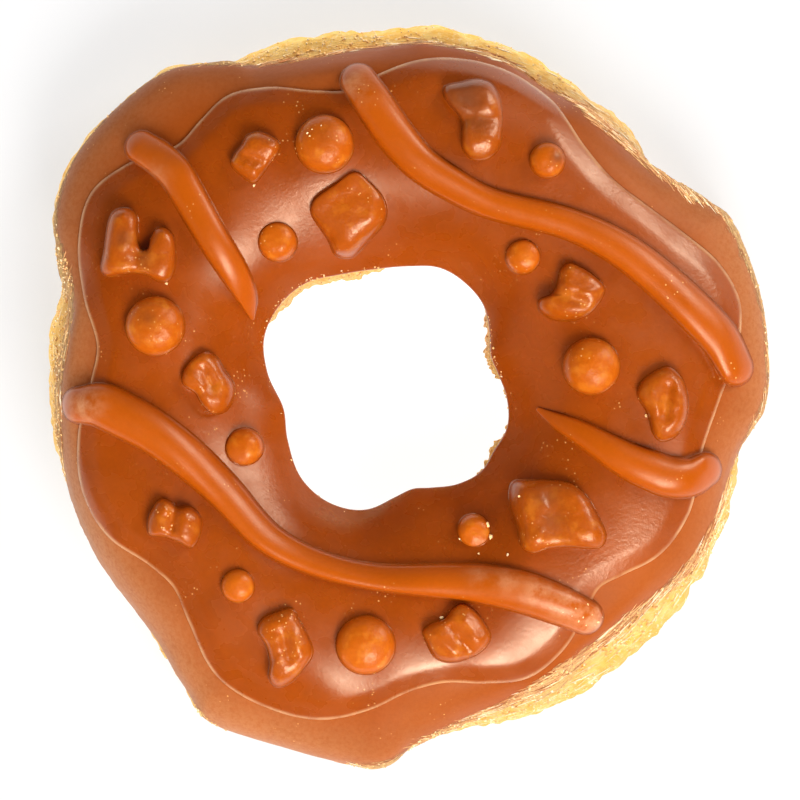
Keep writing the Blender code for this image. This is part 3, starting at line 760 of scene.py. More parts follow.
def ball_rows(x, y, radius):
    """Rows from under the ball, up its fillet and wall, to the middle of its top."""
    turns = np.arange(BALL_SIDES) * math.tau / BALL_SIDES
    ways = np.column_stack([np.cos(turns), np.sin(turns)])
    centre = np.array([x, y])
    middle = icing_height(x, y)
    bumps = dented(BALL_DENT)
    rows = fillet_rows(centre, ways, radius, BALL_FILLET, icing_height)
    for turn in BALL_TURNS:
        plan = centre + ways * radius * math.cos(turn) ** (2 / BALL_SQUARENESS)
        up = (BALL_RISE * radius - BALL_FILLET) * math.sin(turn) ** (2 / BALL_SQUARENESS)
        share = math.sin(turn) ** 0.7
        ground = icing_height(plan[:, 0], plan[:, 1]) * (1 - share) + middle * share
        relief = bumps(plan[:, 0], plan[:, 1]) * math.sin(turn)
        rows.append(np.column_stack([plan, ground + BALL_FILLET + up + relief]))
    rows[-1][:] = rows[-1].mean(axis=0)
    under = centre + ways * radius * UNDER_SHARE
    bottom = np.column_stack([under, icing_height(under[:, 0], under[:, 1]) - UNDER_DEPTH])
    closing = np.tile([x, y, float(middle) - UNDER_DEPTH], (BALL_SIDES, 1))
    return np.array([closing, bottom] + rows)


toppings = []
for number, (x, y, radius) in enumerate(BALLS, 1):
    ball = skin(f"ball_{number:02d}_glazed", ball_rows(x, y, radius), False)
    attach(ball, "root")
    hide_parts(f"ball_{number:02d}")
    toppings.append(ball)
print("Balls:", len(toppings))

# %% [markdown]
# ## Chunks
#
# The chunks are broken pieces with four or five soft corners. Each outline was read from the photograph,
# and so were the dents and ridges on top. A fold is a soft valley or ridge along a short line: its two
# ends, its reach and its height. Most chunks close over one middle point. The U-shaped one closes over a
# bent middle line instead, so its outline is given in two sides, and the points of both sides share the
# points of that line.

# %% Outlines, heights and relief of the chunks
CHUNKS = [
    {
        "outline": [
            (-19.8, 34.7), (-18.2, 34.2), (-17.0, 33.3), (-17.1, 32.1), (-18.3, 30.5), (-19.2, 29.2),
            (-20.3, 28.1), (-21.8, 28.9), (-23.3, 30.5), (-22.9, 31.7), (-21.9, 33.0), (-21.2, 34.2),
        ],
        "rise": 2.4,
        "folds": [
            (-22.6, 31.9, -19.4, 30.7, 0.75, -0.55), (-19.4, 33.2, -18.0, 32.8, 0.8, 0.15),
            (-21.4, 30.0, -20.2, 29.2, 0.6, 0.15),
        ],
    },
    {
        "outline": [
            (-7.0, 29.4), (-5.0, 28.0), (-3.1, 25.6), (-3.0, 23.4), (-5.6, 20.2), (-7.6, 18.4),
            (-9.6, 18.7), (-10.6, 20.7), (-12.8, 24.3), (-12.4, 25.7), (-9.6, 27.8),
        ],
        "rise": 2.9,
        "level": 1.0,
        "folds": [
            (-9.4, 20.4, -6.8, 19.2, 1.5, -0.45), (-11.4, 23.6, -9.8, 21.6, 1.2, -0.25),
            (-4.4, 25.6, -4.7, 23.0, 0.8, 0.22), (-10.2, 26.6, -7.4, 28.2, 0.7, 0.12),
        ],
    },
    {
        "outline": [
            (-37.0, 24.7), (-35.8, 23.8), (-35.6, 21.8), (-35.5, 20.0), (-35.0, 19.2), (-34.2, 19.3),
            (-33.8, 20.8), (-33.1, 22.0), (-31.9, 22.0), (-30.9, 21.0), (-30.6, 18.8), (-30.8, 16.6),
            (-31.6, 15.1), (-32.8, 15.1), (-34.4, 15.9), (-36.2, 16.2), (-38.2, 15.9), (-39.7, 15.8),
            (-40.4, 16.6), (-40.1, 18.8), (-39.8, 21.2), (-39.4, 23.4), (-38.8, 24.4),
        ],
        "far_corner": 8,
        "middle": [
            (-37.6, 23.0), (-37.7, 19.8), (-37.2, 17.9), (-35.6, 17.4), (-33.6, 17.5), (-32.3, 18.4),
            (-32.2, 20.4),
        ],
        "rise": 2.7,
        "folds": [
            (-35.7, 18.8, -35.6, 16.6, 1.1, -0.7), (-37.2, 21.0, -37.2, 19.6, 0.5, 0.12),
            (-38.9, 23.0, -39.2, 17.2, 0.8, 0.1),
        ],
    },
    {
        "outline": [
            (-26.8, 5.8), (-25.3, 5.1), (-24.3, 3.4), (-23.1, 1.6), (-23.1, -0.2), (-24.2, -2.0),
            (-25.8, -2.3), (-27.2, -1.0), (-28.0, 0.4), (-29.6, 1.6), (-29.6, 3.0), (-28.4, 4.8),
        ],
        "rise": 2.8,
        "folds": [
            (-27.0, 3.4, -25.8, 1.4, 0.7, -0.55), (-28.6, 2.6, -27.2, 1.2, 0.5, 0.22),
            (-25.0, 3.4, -24.0, 0.8, 0.6, 0.18), (-26.2, -0.4, -24.6, -0.6, 0.7, 0.12),
        ],
    },
    {
        "outline": [
            (-32.6, -13.6), (-31.3, -13.9), (-30.4, -14.7), (-28.6, -14.7), (-27.3, -16.0), (-27.4, -18.2),
            (-28.5, -19.9), (-30.0, -19.3), (-32.0, -18.5), (-34.0, -18.2), (-34.2, -16.4), (-33.6, -14.8),
        ],
        "rise": 2.6,
        "folds": [
            (-30.8, -14.2, -30.9, -17.2, 0.7, -0.6), (-33.2, -15.2, -32.4, -17.4, 0.7, 0.15),
            (-31.9, -14.6, -31.7, -15.0, 0.4, 0.2), (-29.1, -15.8, -29.3, -18.0, 0.8, 0.2),
        ],
    },
    {
        "outline": [
            (-15.3, -28.0), (-14.4, -29.4), (-13.2, -31.6), (-12.6, -33.8), (-13.8, -35.9), (-15.6, -37.8),
            (-17.3, -38.4), (-18.3, -37.4), (-18.2, -35.0), (-18.7, -32.8), (-19.8, -30.8), (-19.2, -29.4),
            (-17.2, -28.4),
        ],
        "rise": 2.8,
        "folds": [
            (-16.4, -31.2, -15.6, -34.6, 0.7, -0.4), (-14.9, -31.4, -13.9, -34.2, 0.6, 0.3),
            (-18.2, -30.4, -16.2, -29.6, 0.6, 0.12),
        ],
    },
    {
        "outline": [
            (7.1, -27.4), (8.6, -28.2), (10.2, -30.2), (10.8, -31.8), (9.8, -33.4), (7.6, -34.6),
            (5.4, -35.0), (3.7, -34.5), (2.5, -32.6), (2.0, -30.9), (3.0, -30.0), (4.8, -29.3),
            (5.9, -28.0),
        ],
        "rise": 2.9,
        "folds": [
            (5.6, -30.4, 7.9, -33.2, 0.65, -0.5), (7.4, -29.6, 9.3, -32.2, 0.55, 0.35),
            (3.8, -31.4, 6.2, -34.0, 0.6, 0.3),
        ],
    },
    {
        "outline": [
            (13.9, -11.4), (16.0, -11.2), (18.5, -11.2), (21.4, -11.6), (23.4, -13.2), (25.0, -16.0),
            (26.0, -18.4), (25.4, -19.8), (23.6, -20.0), (21.0, -19.8), (18.6, -20.0), (16.4, -20.6),
            (15.1, -20.0), (14.4, -17.2), (13.4, -13.6),
        ],
        "rise": 3.1,
        "folds": [
            (19.0, -12.6, 19.6, -17.4, 1.9, -0.75), (14.9, -12.8, 15.9, -18.8, 0.7, 0.3),
            (22.4, -13.0, 24.2, -17.2, 0.9, 0.3), (17.2, -18.2, 17.0, -18.8, 0.8, 0.3),
            (22.8, -18.2, 24.2, -18.8, 0.7, 0.2), (21.4, -17.2, 22.8, -19.2, 0.35, 0.14),
            (22.6, -16.2, 24.4, -18.6, 0.35, 0.14), (15.0, -12.4, 16.2, -13.8, 0.4, 0.16),
            (17.4, -12.8, 18.0, -14.4, 0.35, 0.1),
        ],
    },
    {
        "outline": [
            (34.2, 3.8), (35.8, 2.6), (36.7, 0.4), (36.8, -2.0), (36.1, -4.2), (34.9, -5.5), (33.3, -5.9),
            (32.3, -5.0), (31.6, -2.4), (30.2, 0.2), (30.7, 1.8), (32.4, 3.2),
        ],
        "rise": 2.8,
        "folds": [
            (33.6, -2.4, 34.2, 1.0, 0.9, -0.5), (31.8, 0.6, 32.6, -1.8, 0.5, 0.25),
            (35.7, -2.8, 34.1, -4.5, 0.6, 0.22), (35.9, -1.2, 35.2, 1.8, 0.6, 0.2),
        ],
    },
    {
        "outline": [
            (21.0, 17.4), (22.6, 16.9), (24.6, 15.6), (25.8, 14.2), (25.4, 12.8), (23.6, 10.7),
            (21.4, 10.0), (19.0, 10.2), (17.3, 11.4), (17.3, 12.6), (18.9, 13.4), (19.7, 14.8),
            (20.1, 16.6),
        ],
        "rise": 2.8,
        "folds": [
            (20.3, 14.7, 23.8, 13.5, 0.6, 0.22), (19.9, 13.2, 23.2, 12.2, 0.6, -0.35),
            (20.4, 11.2, 22.4, 11.0, 0.6, 0.15),
        ],
    },
    {
        "outline": [
            (4.8, 40.7), (6.8, 41.3), (9.0, 41.7), (10.8, 41.2), (11.9, 39.6), (12.3, 37.6), (12.3, 35.0),
            (12.0, 32.8), (10.6, 31.3), (8.6, 31.1), (7.3, 32.2), (7.1, 34.2), (7.2, 35.8), (6.7, 36.9),
            (5.7, 38.0), (4.8, 39.4),
        ],
        "rise": 2.6,
        "folds": [
            (7.0, 36.8, 11.8, 36.4, 1.2, -0.65), (7.4, 38.9, 9.2, 38.5, 0.8, -0.3),
            (6.0, 40.2, 10.2, 40.6, 0.6, 0.15), (8.4, 33.0, 10.8, 33.6, 0.9, 0.25),
        ],
    },
]
print("Chunks to model:", len(CHUNKS))

# %% Outlines and folds of a chunk
CHUNK_SIDES = 96
CHUNK_SQUARENESS = 3.0
CHUNK_LEVEL = 0.55
CHUNK_FILLET = 0.36
CHUNK_DENT = 0.03
CORNER_PARTS = 12
CHUNK_TURNS = np.radians([8, 18, 28, 38, 48, 57, 65, 71, 76, 80, 84, 87, 90])


def resampled(line, count):
    """Evenly spaced points on an open line, without its end."""
    lengths = np.concatenate([[0], np.cumsum(np.linalg.norm(np.diff(line, axis=0), axis=1))])
    wanted = np.arange(count) * lengths[-1] / count
    return np.stack([np.interp(wanted, lengths, line[:, axis]) for axis in range(2)], axis=1)


def smooth_outline(corners, far_corner):
    """A closed outline on a smooth curve through the corners, evenly spaced on each of its two sides."""
    corners = np.array(corners, float)
    parts = np.linspace(0, 1, CORNER_PARTS, endpoint=False)
    count = len(corners)
    loop = [
        curve_part(corners[i - 1], corners[i], corners[(i + 1) % count], corners[(i + 2) % count], parts)
        for i in range(count)
    ]
    loop = np.vstack(loop + [corners[:1]])
    if far_corner is None:
        return resampled(loop, CHUNK_SIDES)
    split = far_corner * len(parts)
    half = CHUNK_SIDES // 2
    return np.vstack([resampled(loop[: split + 1], half), resampled(loop[split:], half)])


def chunk_middle(chunk, outline):
    """What each point of the outline closes on: one middle, or a place on the bent middle line."""
    if "middle" not in chunk:
        return np.tile(outline.mean(axis=0), (CHUNK_SIDES, 1))
    line = np.array(chunk["middle"], float)
    along = np.vstack([resampled(line, CHUNK_SIDES // 2), line[-1:]])
    return np.vstack([along[:-1], along[::-1][:-1]])


def fold_height(folds, x, y):
    """How far the valleys and ridges of a chunk lower or raise it at a place."""
    total = 0 * x
    for start_x, start_y, end_x, end_y, reach, height in folds:
        run = np.array([end_x - start_x, end_y - start_y])
        part = np.clip(((x - start_x) * run[0] + (y - start_y) * run[1]) / np.dot(run, run), 0, 1)
        distance = np.hypot(x - start_x - part * run[0], y - start_y - part * run[1])
        total = total + height * np.exp(-((distance / reach) ** 2))
    return total


print("Round each chunk:", CHUNK_SIDES, "points")

# %% Model the chunks
def chunk_rows(chunk):
    """Rows from under the chunk, up its fillet and wall, to the place on which its top closes."""
    outline = smooth_outline(chunk["outline"], chunk.get("far_corner"))
    middle = chunk_middle(chunk, outline)
    run = np.roll(outline, -1, axis=0) - np.roll(outline, 1, axis=0)
    ways = np.stack([run[:, 1], -run[:, 0]], axis=1) / np.linalg.norm(run, axis=1)[:, None]
    if np.sum(ways * (outline - outline.mean(axis=0))) < 0:
        ways = -ways
    dents = dented(CHUNK_DENT)
    rows = fillet_rows(outline, ways, 0, CHUNK_FILLET, icing_height)
    for turn in CHUNK_TURNS:
        plan = middle + (outline - middle) * math.cos(turn) ** (2 / CHUNK_SQUARENESS)
        x, y = plan[:, 0], plan[:, 1]
        up = math.sin(turn) ** (2 / CHUNK_SQUARENESS)
        rise = chunk["rise"] - CHUNK_FILLET + dents(x, y) + fold_height(chunk["folds"], x, y)
        share = chunk.get("level", CHUNK_LEVEL) * math.sin(turn)
        ground = icing_height(x, y) * (1 - share) + icing_height(*outline.mean(axis=0)) * share
        rows.append(np.column_stack([plan, ground + (CHUNK_FILLET + rise * up)]))
    under = middle + (outline - middle) * UNDER_SHARE
    bottom = np.column_stack([under, icing_height(under[:, 0], under[:, 1]) - UNDER_DEPTH])
    closing = np.column_stack([middle, icing_height(middle[:, 0], middle[:, 1]) - UNDER_DEPTH])
    return np.array([closing, bottom] + rows)


for number, chunk in enumerate(CHUNKS, 1):
    piece = skin(f"chunk_{number:02d}_glazed", chunk_rows(chunk), False)
    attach(piece, "root")
    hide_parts(f"chunk_{number:02d}")
    toppings.append(piece)
print("Toppings in all:", len(toppings))

# %% [markdown]
# ## Where the smooth glaze ends
#
# Along much of the rim the glaze was still wet when the treat was set down, and it took up dust, flakes and
# torn fibres of the dough. A line read from the photograph says where the smooth glaze ends, a second one
# how much dust lies on the glaze near the rim, together with a painted reflection that lightens the coat
# towards its rim, and a third how tanned the dough is. A picture painted on the piece could hold this, but
# numbers are enough: each point of a piece keeps them as attributes, and the finish reads them there. The
# coat also keeps how far each point faces upwards, and the icing how far it is from its own edge.

# %% Lines for the smooth glaze, the dust with its painted reflection, and the tan
SMOOTH_EDGE = [
    (0, 47.6), (8, 48.3), (15, 48.6), (22, 48.4), (28, 48.3), (32, 47.8), (35, 45.7), (38, 45.2),
    (42, 44.3), (50, 44.0), (58, 44.3), (60, 45.0), (66, 45.4), (72, 46.2), (80, 46.8), (88, 47.2),
    (95, 46.9), (105, 46.9), (113, 48.0), (118, 50.0), (125, 53.7), (135, 54.8), (145, 54.7), (150, 53.6),
    (154, 52.2), (157, 50.0), (160, 47.8), (165, 46.0), (170, 45.7), (178, 46.1), (185, 46.4), (193, 47.2),
    (200, 48.2), (215, 47.8), (225, 48.0), (232, 49.5), (240, 51.1), (250, 50.4), (256, 50.6), (262, 49.8),
    (268, 48.4), (272, 46.0), (276, 44.7), (282, 43.4), (290, 42.4), (293, 41.8), (299, 41.2), (307, 41.0),
    (315, 41.2), (320, 42.1), (325, 42.8), (330, 43.4), (336, 44.0), (342, 44.2), (350, 44.9), (355, 46.0),
]
# Dust on the glaze near the rim, with a painted reflection that lightens it towards the rim.
DUST_AND_REFLECTION = [
    (0, 0.6), (20, 0.7), (35, 0.5), (60, 0.1), (90, 0.05), (120, 0.3), (150, 0.6), (170, 0.75), (200, 0.9),
    (220, 0.75), (240, 0.75), (262, 0.5), (275, 0.2), (300, 0.0), (335, 0.3),
]
DUST_AND_REFLECTION_WIDTH = 8.0
TANNED = [
    (0, 0.3), (25, 0.6), (32, 1.0), (56, 1.0), (66, 0.55), (110, 0.45), (150, 0.6), (200, 0.5), (270, 0.3),
    (330, 0.3),
]
smooth_edge = closed_line(SMOOTH_EDGE)
dust_and_reflection_line = closed_line(DUST_AND_REFLECTION)
tanned = closed_line(TANNED)
print("Smooth glaze ends at", float(smooth_edge(300)), "mm at lower right")

# %% Store what the lines say on the pieces
def plan_of(piece):
    """X and Y of each point of a piece in millimetres."""
    spots = np.empty(len(piece.data.vertices) * 3)
    piece.data.vertices.foreach_get("co", spots)
    return spots.reshape(-1, 3).T[:2] / MM


def upward(piece):
    """How far each point of a piece faces upwards, from -1 to 1."""
    normals = np.empty(len(piece.data.vertices) * 3)
    piece.data.vertices.foreach_get("normal", normals)
    return normals[2::3]


def store(piece, name, values):
    piece.data.attributes.new(name, "FLOAT", "POINT").data.foreach_set("value", values)


angles, radii = polar(*plan_of(coat))
store(coat, "beyond", radii - smooth_edge(angles))
# Dust and painted reflection, growing towards the rim of the coat.
store(coat, "rim_dust_and_reflection", dust_and_reflection_line(angles) * np.clip(1 - (coat_edge(angles) - radii) / DUST_AND_REFLECTION_WIDTH, 0, 1))
store(coat, "upward", upward(coat))
angles, radii = polar(*plan_of(dough))
store(dough, "beyond", radii - np.maximum(coat_edge(angles), smooth_edge(angles)))
store(dough, "tanned", tanned(angles))
store(icing, "edge", edge_distance(*plan_of(icing)))
print("Attributes on the coat:", [item.name for item in coat.data.attributes if item.data_type == "FLOAT"])

# %% [markdown]
# ## Pale, dark and satin spots
#
# The glaze isn't even. The ends of the strands are paler: partly a thin whitish film that dried there,
# partly a painted reflection on their round caps. Dips, notches and some tops of the toppings are painted
# darker, as painted shade, and on one chunk partly as a darker glaze. Parts of the icing are grainy and
# less glossy. Each such area is a soft round spot with a place, a radius and a share, and overlapping
# spots make an uneven patch. A painted picture would do the same, but it would have to be kept beside the
# script. The spots are stored as attributes too.

# %% Pale, dark and satin spots: X, Y, radius and share
# Paler ends of the strands: partly a dried whitish film, partly a painted reflection on their round caps.
FROST_AND_REFLECTION_SPOTS = [
    (24.4, -29.4, 3.0, 0.75), (21.0, -27.4, 2.4, 0.65), (17.2, -25.6, 2.2, 0.55), (13.2, -24.2, 1.8, 0.4),
    (9.4, -23.4, 1.6, 0.3), (-42.6, -1.2, 2.2, 0.7), (-7.5, 41.0, 2.6, 0.45), (-34.0, 28.6, 2.2, 0.4),
]
# Dark spots: painted shade in dips, notches and on some tops, and on one chunk partly a darker glaze.
SHADE_AND_DARK_GLAZE_SPOTS = [
    (18.2, -13.4, 1.9, 0.6), (18.8, -16.4, 1.9, 0.6), (7.7, 39.3, 3.4, 0.95), (9.0, 36.0, 2.4, 0.7),
    (19.6, 31.3, 0.9, 0.8), (-37.4, 20.6, 1.3, 0.6), (-34.5, 18.0, 1.2, 0.4), (-11.0, 34.0, 1.4, 0.3),
    (-34.0, 10.2, 1.2, 0.5),
]
SATIN = [
    (24.0, -22.0, 7.0, 1.0), (20.0, -33.0, 5.0, 0.5), (32.0, -17.0, 6.0, 1.0), (25.0, 23.0, 5.0, 1.0),
    (31.0, 18.5, 5.0, 1.0), (37.0, 13.0, 5.0, 1.0), (19.5, 27.5, 5.0, 0.8), (-14.0, 22.5, 7.0, 1.0),
    (-18.0, -11.0, 6.0, 0.8),
]


def store_spots(piece, name, spots):
    """Stores how strongly soft round spots mark each point of a piece."""
    x, y = plan_of(piece)
    shares = np.zeros(len(x))
    for spot_x, spot_y, radius, share in spots:
        apart = ((x - spot_x) ** 2 + (y - spot_y) ** 2) / radius**2
        shares = np.maximum(shares, share * np.exp(-apart))
    store(piece, name, shares)


for piece in strands + toppings:
    store_spots(piece, "frost_and_reflection", FROST_AND_REFLECTION_SPOTS)
    store_spots(piece, "dull", SHADE_AND_DARK_GLAZE_SPOTS)
store_spots(icing, "satin", SATIN)
print("Spots:", len(FROST_AND_REFLECTION_SPOTS) + len(SHADE_AND_DARK_GLAZE_SPOTS) + len(SATIN))

# %% [markdown]
# ## Crumbs and fibres
#
# The rough stretches are loose matter: crumbs like coarse sand, and flat fibres that lie along the rim. One
# crumb is a small ico sphere with its corners pulled about, and one fibre is a thin cylinder drawn out to
# points. Each is modelled once. Copying them a thousand times with an operator would take minutes, so their
# points are copied as numbers, turned and laid on the surface, and one mesh holds them all. A ray from
# above finds the surface.

# %% Find what lies on top at a place
RAY_HEIGHT = 0.05


def surface_below(pieces):
    """All faces of some pieces as one surface that a ray can be cast at."""
    points, faces = [], []
    for piece in pieces:
        first = len(points)
        points += [point.co[:] for point in piece.data.vertices]
        faces += [[first + corner for corner in face.vertices] for face in piece.data.polygons]
    return BVHTree.FromPolygons(points, faces)


surface = surface_below([dough, coat, icing] + strands + toppings)


def top_at(x, y):
    """Height of the highest surface at a place in millimetres, or None beside the doughnut."""
    spot = surface.ray_cast(Vector((x * MM, y * MM, RAY_HEIGHT)), Vector((0, 0, -1)))[0]
    return None if spot is None else spot.z / MM


print("Top at (0, 30):", round(top_at(0, 30), 2), "mm")

# %% Model one crumb
loose = np.random.default_rng(47)


def shape_of(piece):
    """Points in millimetres and faces of a piece, which is then removed."""
    points = np.array([point.co[:] for point in piece.data.vertices]) / MM
    faces = np.array([face.vertices[:] for face in piece.data.polygons])
    bpy.data.objects.remove(piece)
    return points, faces


bpy.ops.object.select_all(action="DESELECT")
bpy.ops.mesh.primitive_ico_sphere_add(subdivisions=1, radius=0.5 * MM)
crumb = bpy.context.active_object
for point in crumb.data.vertices:
    point.co *= loose.uniform(0.75, 1.25)
crumb_shape = shape_of(crumb)
print("Crumb:", len(crumb_shape[1]), "faces")

# %% Model one fibre
FIBRE_STEPS = 4
FIBRE_TAPER = 1.6
FIBRE_TIP = 0.08
bpy.ops.mesh.primitive_cylinder_add(vertices=4, radius=0.5 * MM, depth=MM, end_fill_type="TRIFAN")
fibre = bpy.context.active_object
bpy.ops.object.mode_set(mode="EDIT")
bpy.ops.mesh.select_all(action="DESELECT")
bpy.ops.object.mode_set(mode="OBJECT")
for edge in fibre.data.edges:
    start, end = (fibre.data.vertices[corner].co for corner in edge.vertices)
    edge.select = abs(start.z - end.z) > MM / 2
bpy.ops.object.mode_set(mode="EDIT")
bpy.ops.mesh.subdivide(number_cuts=FIBRE_STEPS - 1)
bpy.ops.mesh.select_all(action="SELECT")
bpy.ops.mesh.quads_convert_to_tris()
bpy.ops.object.mode_set(mode="OBJECT")
for point in fibre.data.vertices:
    slim = math.sqrt(max(0.0, 1 - abs(2 * point.co.z / MM) ** FIBRE_TAPER))
    point.co.x *= max(slim, FIBRE_TIP)
    point.co.y *= max(slim, FIBRE_TIP)
fibre_shape = shape_of(fibre)
print("Fibre:", len(fibre_shape[1]), "faces")

# %% Join many copies into one piece
def strewn(name, shape, copies, shades):
    """One piece that holds all the copies of a shape, each an array of points in millimetres."""
    points = np.concatenate(copies) * MM
    size = len(shape[0])
    faces = np.concatenate([shape[1] + number * size for number in range(len(copies))])
    mesh = bpy.data.meshes.new(name)
    mesh.from_pydata(points.tolist(), [], faces.tolist())
    piece = bpy.data.objects.new(name, mesh)
    bpy.context.scene.collection.objects.link(piece)
    mesh.shade_smooth()
    store(piece, "shade", np.repeat(shades, size))
    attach(piece, "root")
    print(name, ":", len(copies), "copies,", len(faces), "faces")
    return piece


def turned(points, turn):
    """Points turned about the vertical by an angle in radians."""
    x, y, z = points.T
    cos, sin = math.cos(turn), math.sin(turn)
    return np.column_stack([x * cos - y * sin, x * sin + y * cos, z])


print("Ready to join copies of", len(crumb_shape[0]), "and", len(fibre_shape[0]), "points")

# %% Places of the crumbs: first and last angle, count and size, and X, Y and size of the loose ones
RIM_CRUMBS = [
    (157, 194, 380, 0.32), (194, 222, 24, 0.26), (222, 242, 110, 0.34), (242, 270, 60, 0.32),
    (270, 345, 700, 0.36), (345, 390, 60, 0.30), (32, 62, 60, 0.30), (62, 122, 260, 0.34),
    (122, 157, 80, 0.30),
]
HOLE_CRUMBS = [(103, 162, 70, 0.28), (162, 250, 12, 0.22), (10, 45, 40, 0.26)]
LOOSE_CRUMBS = [
    (10.5, -17.0, 0.7), (10.9, -18.6, 0.6), (9.3, -20.8, 0.5), (4.4, -29.2, 0.5), (13.1, -20.9, 0.4),
    (31.3, -2.6, 0.5), (-20.3, 27.7, 0.5), (-31.8, 14.8, 0.5), (14.6, -13.2, 0.5), (6.8, -18.9, 0.4),
    (22.4, -29.6, 0.4), (23.6, -27.4, 0.3), (25.0, -29.8, 0.4), (21.5, -28.9, 0.25), (22.0, -27.9, 0.2),
    (23.0, -29.1, 0.25), (24.2, -28.8, 0.3), (24.6, -30.2, 0.2), (20.3, -28.4, 0.2), (23.4, -30.2, 0.25),
    (25.6, -29.2, 0.2), (-13.2, 34.4, 0.3), (-12.6, 34.9, 0.25), (-12.9, 34.0, 0.22), (-11.4, 35.4, 0.2),
]


CRUMB_SIZES = (0.5, 1.3)
LOOSE_SHADE = 0.78


def outer_edge(angle):
    """The coat or the dough, whichever reaches farther out."""
    return np.maximum(coat_edge(angle), dough_edge(angle))


def crumb_at(angle, radius, size, shade):
    turn = math.radians(angle)
    return radius * math.cos(turn), radius * math.sin(turn), size * loose.uniform(*CRUMB_SIZES), shade


def crumb_places():
    """X, Y, size and shade of every crumb, from 0 for brown to 1 for pale gold."""
    for start, end, count, size in RIM_CRUMBS:
        for angle in loose.uniform(start, end, count):
            low, high = smooth_edge(angle) - 0.2, outer_edge(angle) - 0.1
            part = loose.uniform(0, 1) ** 0.8
            radius = float(low + (max(high, low + 0.3) - low) * part)
            yield crumb_at(angle, radius, size, 0.68 + 0.12 * part + loose.uniform(-0.2, 0.16))
    for start, end, count, size in HOLE_CRUMBS:
        for angle in loose.uniform(start, end, count):
            radius = float(hole_edge(angle)) + loose.uniform(-0.5, 0.4)
            yield crumb_at(angle, radius, size, loose.uniform(0.3, 0.9))
    for x, y, size in LOOSE_CRUMBS:
        yield x, y, size, LOOSE_SHADE


print("Crumbs at the rim:", sum(row[2] for row in RIM_CRUMBS))

# %% [markdown]
# Each crumb is stretched and turned at random and sits on what the ray finds. A place beside the doughnut,
# or low on its side, is left out, and so is a fibre that would stick out there. A fibre is bent to follow
# the rim and the heights under it, which are smoothed so that it bridges small pits.

# %% Strew the crumbs
LOWEST_TOP = RIM_HEIGHT / 2
CRUMB_STRETCH = (0.6, 1.3)
CRUMB_LIFT = 0.05
copies, shades = [], []
for x, y, size, shade in crumb_places():
    height = top_at(x, y)
    if height is None or height < LOWEST_TOP:
        continue
    stretch = loose.uniform(*CRUMB_STRETCH, 3)
    points = turned(crumb_shape[0] * stretch * size, loose.uniform(0, math.tau))
    copies.append(points + (x, y, height + size * CRUMB_LIFT))
    shades.append(shade)
crumbs = strewn("rim_crumbs", crumb_shape, copies, shades)
print("Crumbs laid:", len(copies))

# %% Lay the fibres
RIM_FIBRES = [
    (30, 62, 420), (62, 122, 160), (157, 194, 50), (228, 272, 40), (270, 345, 600), (345, 372, 40),
]
FIBRE_LENGTHS = (1.2, 4.5)
FIBRE_WIDTHS = (0.08, 0.24)
ON_COAT_SHARE = 0.85
FIBRE_BAND = 2.0
FIBRE_LEAN = 0.07
FIBRE_FLATNESS = 0.7
FIBRE_LIFT = 0.04
PALE_SHARE = 0.2


def laid_fibre(angle, radius, length, width, lean):
    """A fibre along the rim that follows the surface, or None where it would stick out."""
    points = fibre_shape[0].copy()
    along = points[:, 2] * length
    places = np.linspace(-0.5, 0.5, FIBRE_STEPS + 1) * length
    heights = []
    for place in places:
        turn = math.radians(angle) + place / radius
        reach = radius + lean * place
        heights.append(top_at(reach * math.cos(turn), reach * math.sin(turn)))
    if None in heights or min(heights) < LOWEST_TOP:
        return None
    heights = np.convolve(np.pad(heights, 1, mode="edge"), (0.25, 0.5, 0.25), mode="valid")
    turn = math.radians(angle) + along / radius
    reach = radius + lean * along + points[:, 0] * width
    height = np.interp(along, places, heights) + points[:, 1] * width * FIBRE_FLATNESS + FIBRE_LIFT
    return np.column_stack([reach * np.cos(turn), reach * np.sin(turn), height])


copies, shades = [], []
for start, end, count in RIM_FIBRES:
    for angle in loose.uniform(start, end, count):
        rim = float(coat_edge(angle))
        on_coat = loose.uniform(0, 1) < ON_COAT_SHARE
        smooth = float(smooth_edge(angle)) - 0.2
        inner = (smooth, min(rim + 0.3, smooth + FIBRE_BAND))
        low, high = inner if on_coat else (rim, float(outer_edge(angle)) - 0.15)
        radius = loose.uniform(low, max(high, low + 0.3))
        length = loose.uniform(*FIBRE_LENGTHS)
        width = loose.uniform(*FIBRE_WIDTHS)
        points = laid_fibre(angle, radius, length, width, loose.normal(0, FIBRE_LEAN))
        if points is not None:
            copies.append(points)
            pale = loose.uniform(0, 1) < PALE_SHARE
            shades.append(loose.uniform(0.75, 1) if pale or not on_coat else loose.uniform(0.1, 0.6))
fibres = strewn("rim_fibres", fibre_shape, copies, shades)
print("Fibres laid:", len(copies))

# %% [markdown]
# ## Helpers for the finishes
#
# Each finish is a small tree of shader nodes, in which the same few steps come again and again: noise, a
# change of range, a mix of two colours, a bump. They could be wired by hand in the Shader Editor. Short
# helpers do the same here, so that a finish reads like a recipe. Patterns lie on Object coordinates, which
# are metres on the piece, so a noise scale of 1000 gives grains of about 1 mm. They stay on the piece
# however it is moved.

# %% Nodes and wires
def new_material(name):
    """A new material, its node tree and its surface shader."""
    material = bpy.data.materials.new(name)
    material.use_nodes = True
    return material, material.node_tree, material.node_tree.nodes["Principled BSDF"]


def wire(tree, node, inputs):
    """Sets inputs of a node, each to a number, a colour or another node's socket."""
    for name, value in inputs.items():
        if isinstance(value, bpy.types.NodeSocket):
            tree.links.new(value, node.inputs[name])
        else:
            node.inputs[name].default_value = value


def new_node(tree, kind, inputs):
    node = tree.nodes.new("ShaderNode" + kind)
    wire(tree, node, inputs)
    return node


def on_piece(tree):
    """A place on the piece in metres."""
    return tree.nodes.new("ShaderNodeTexCoord").outputs["Object"]


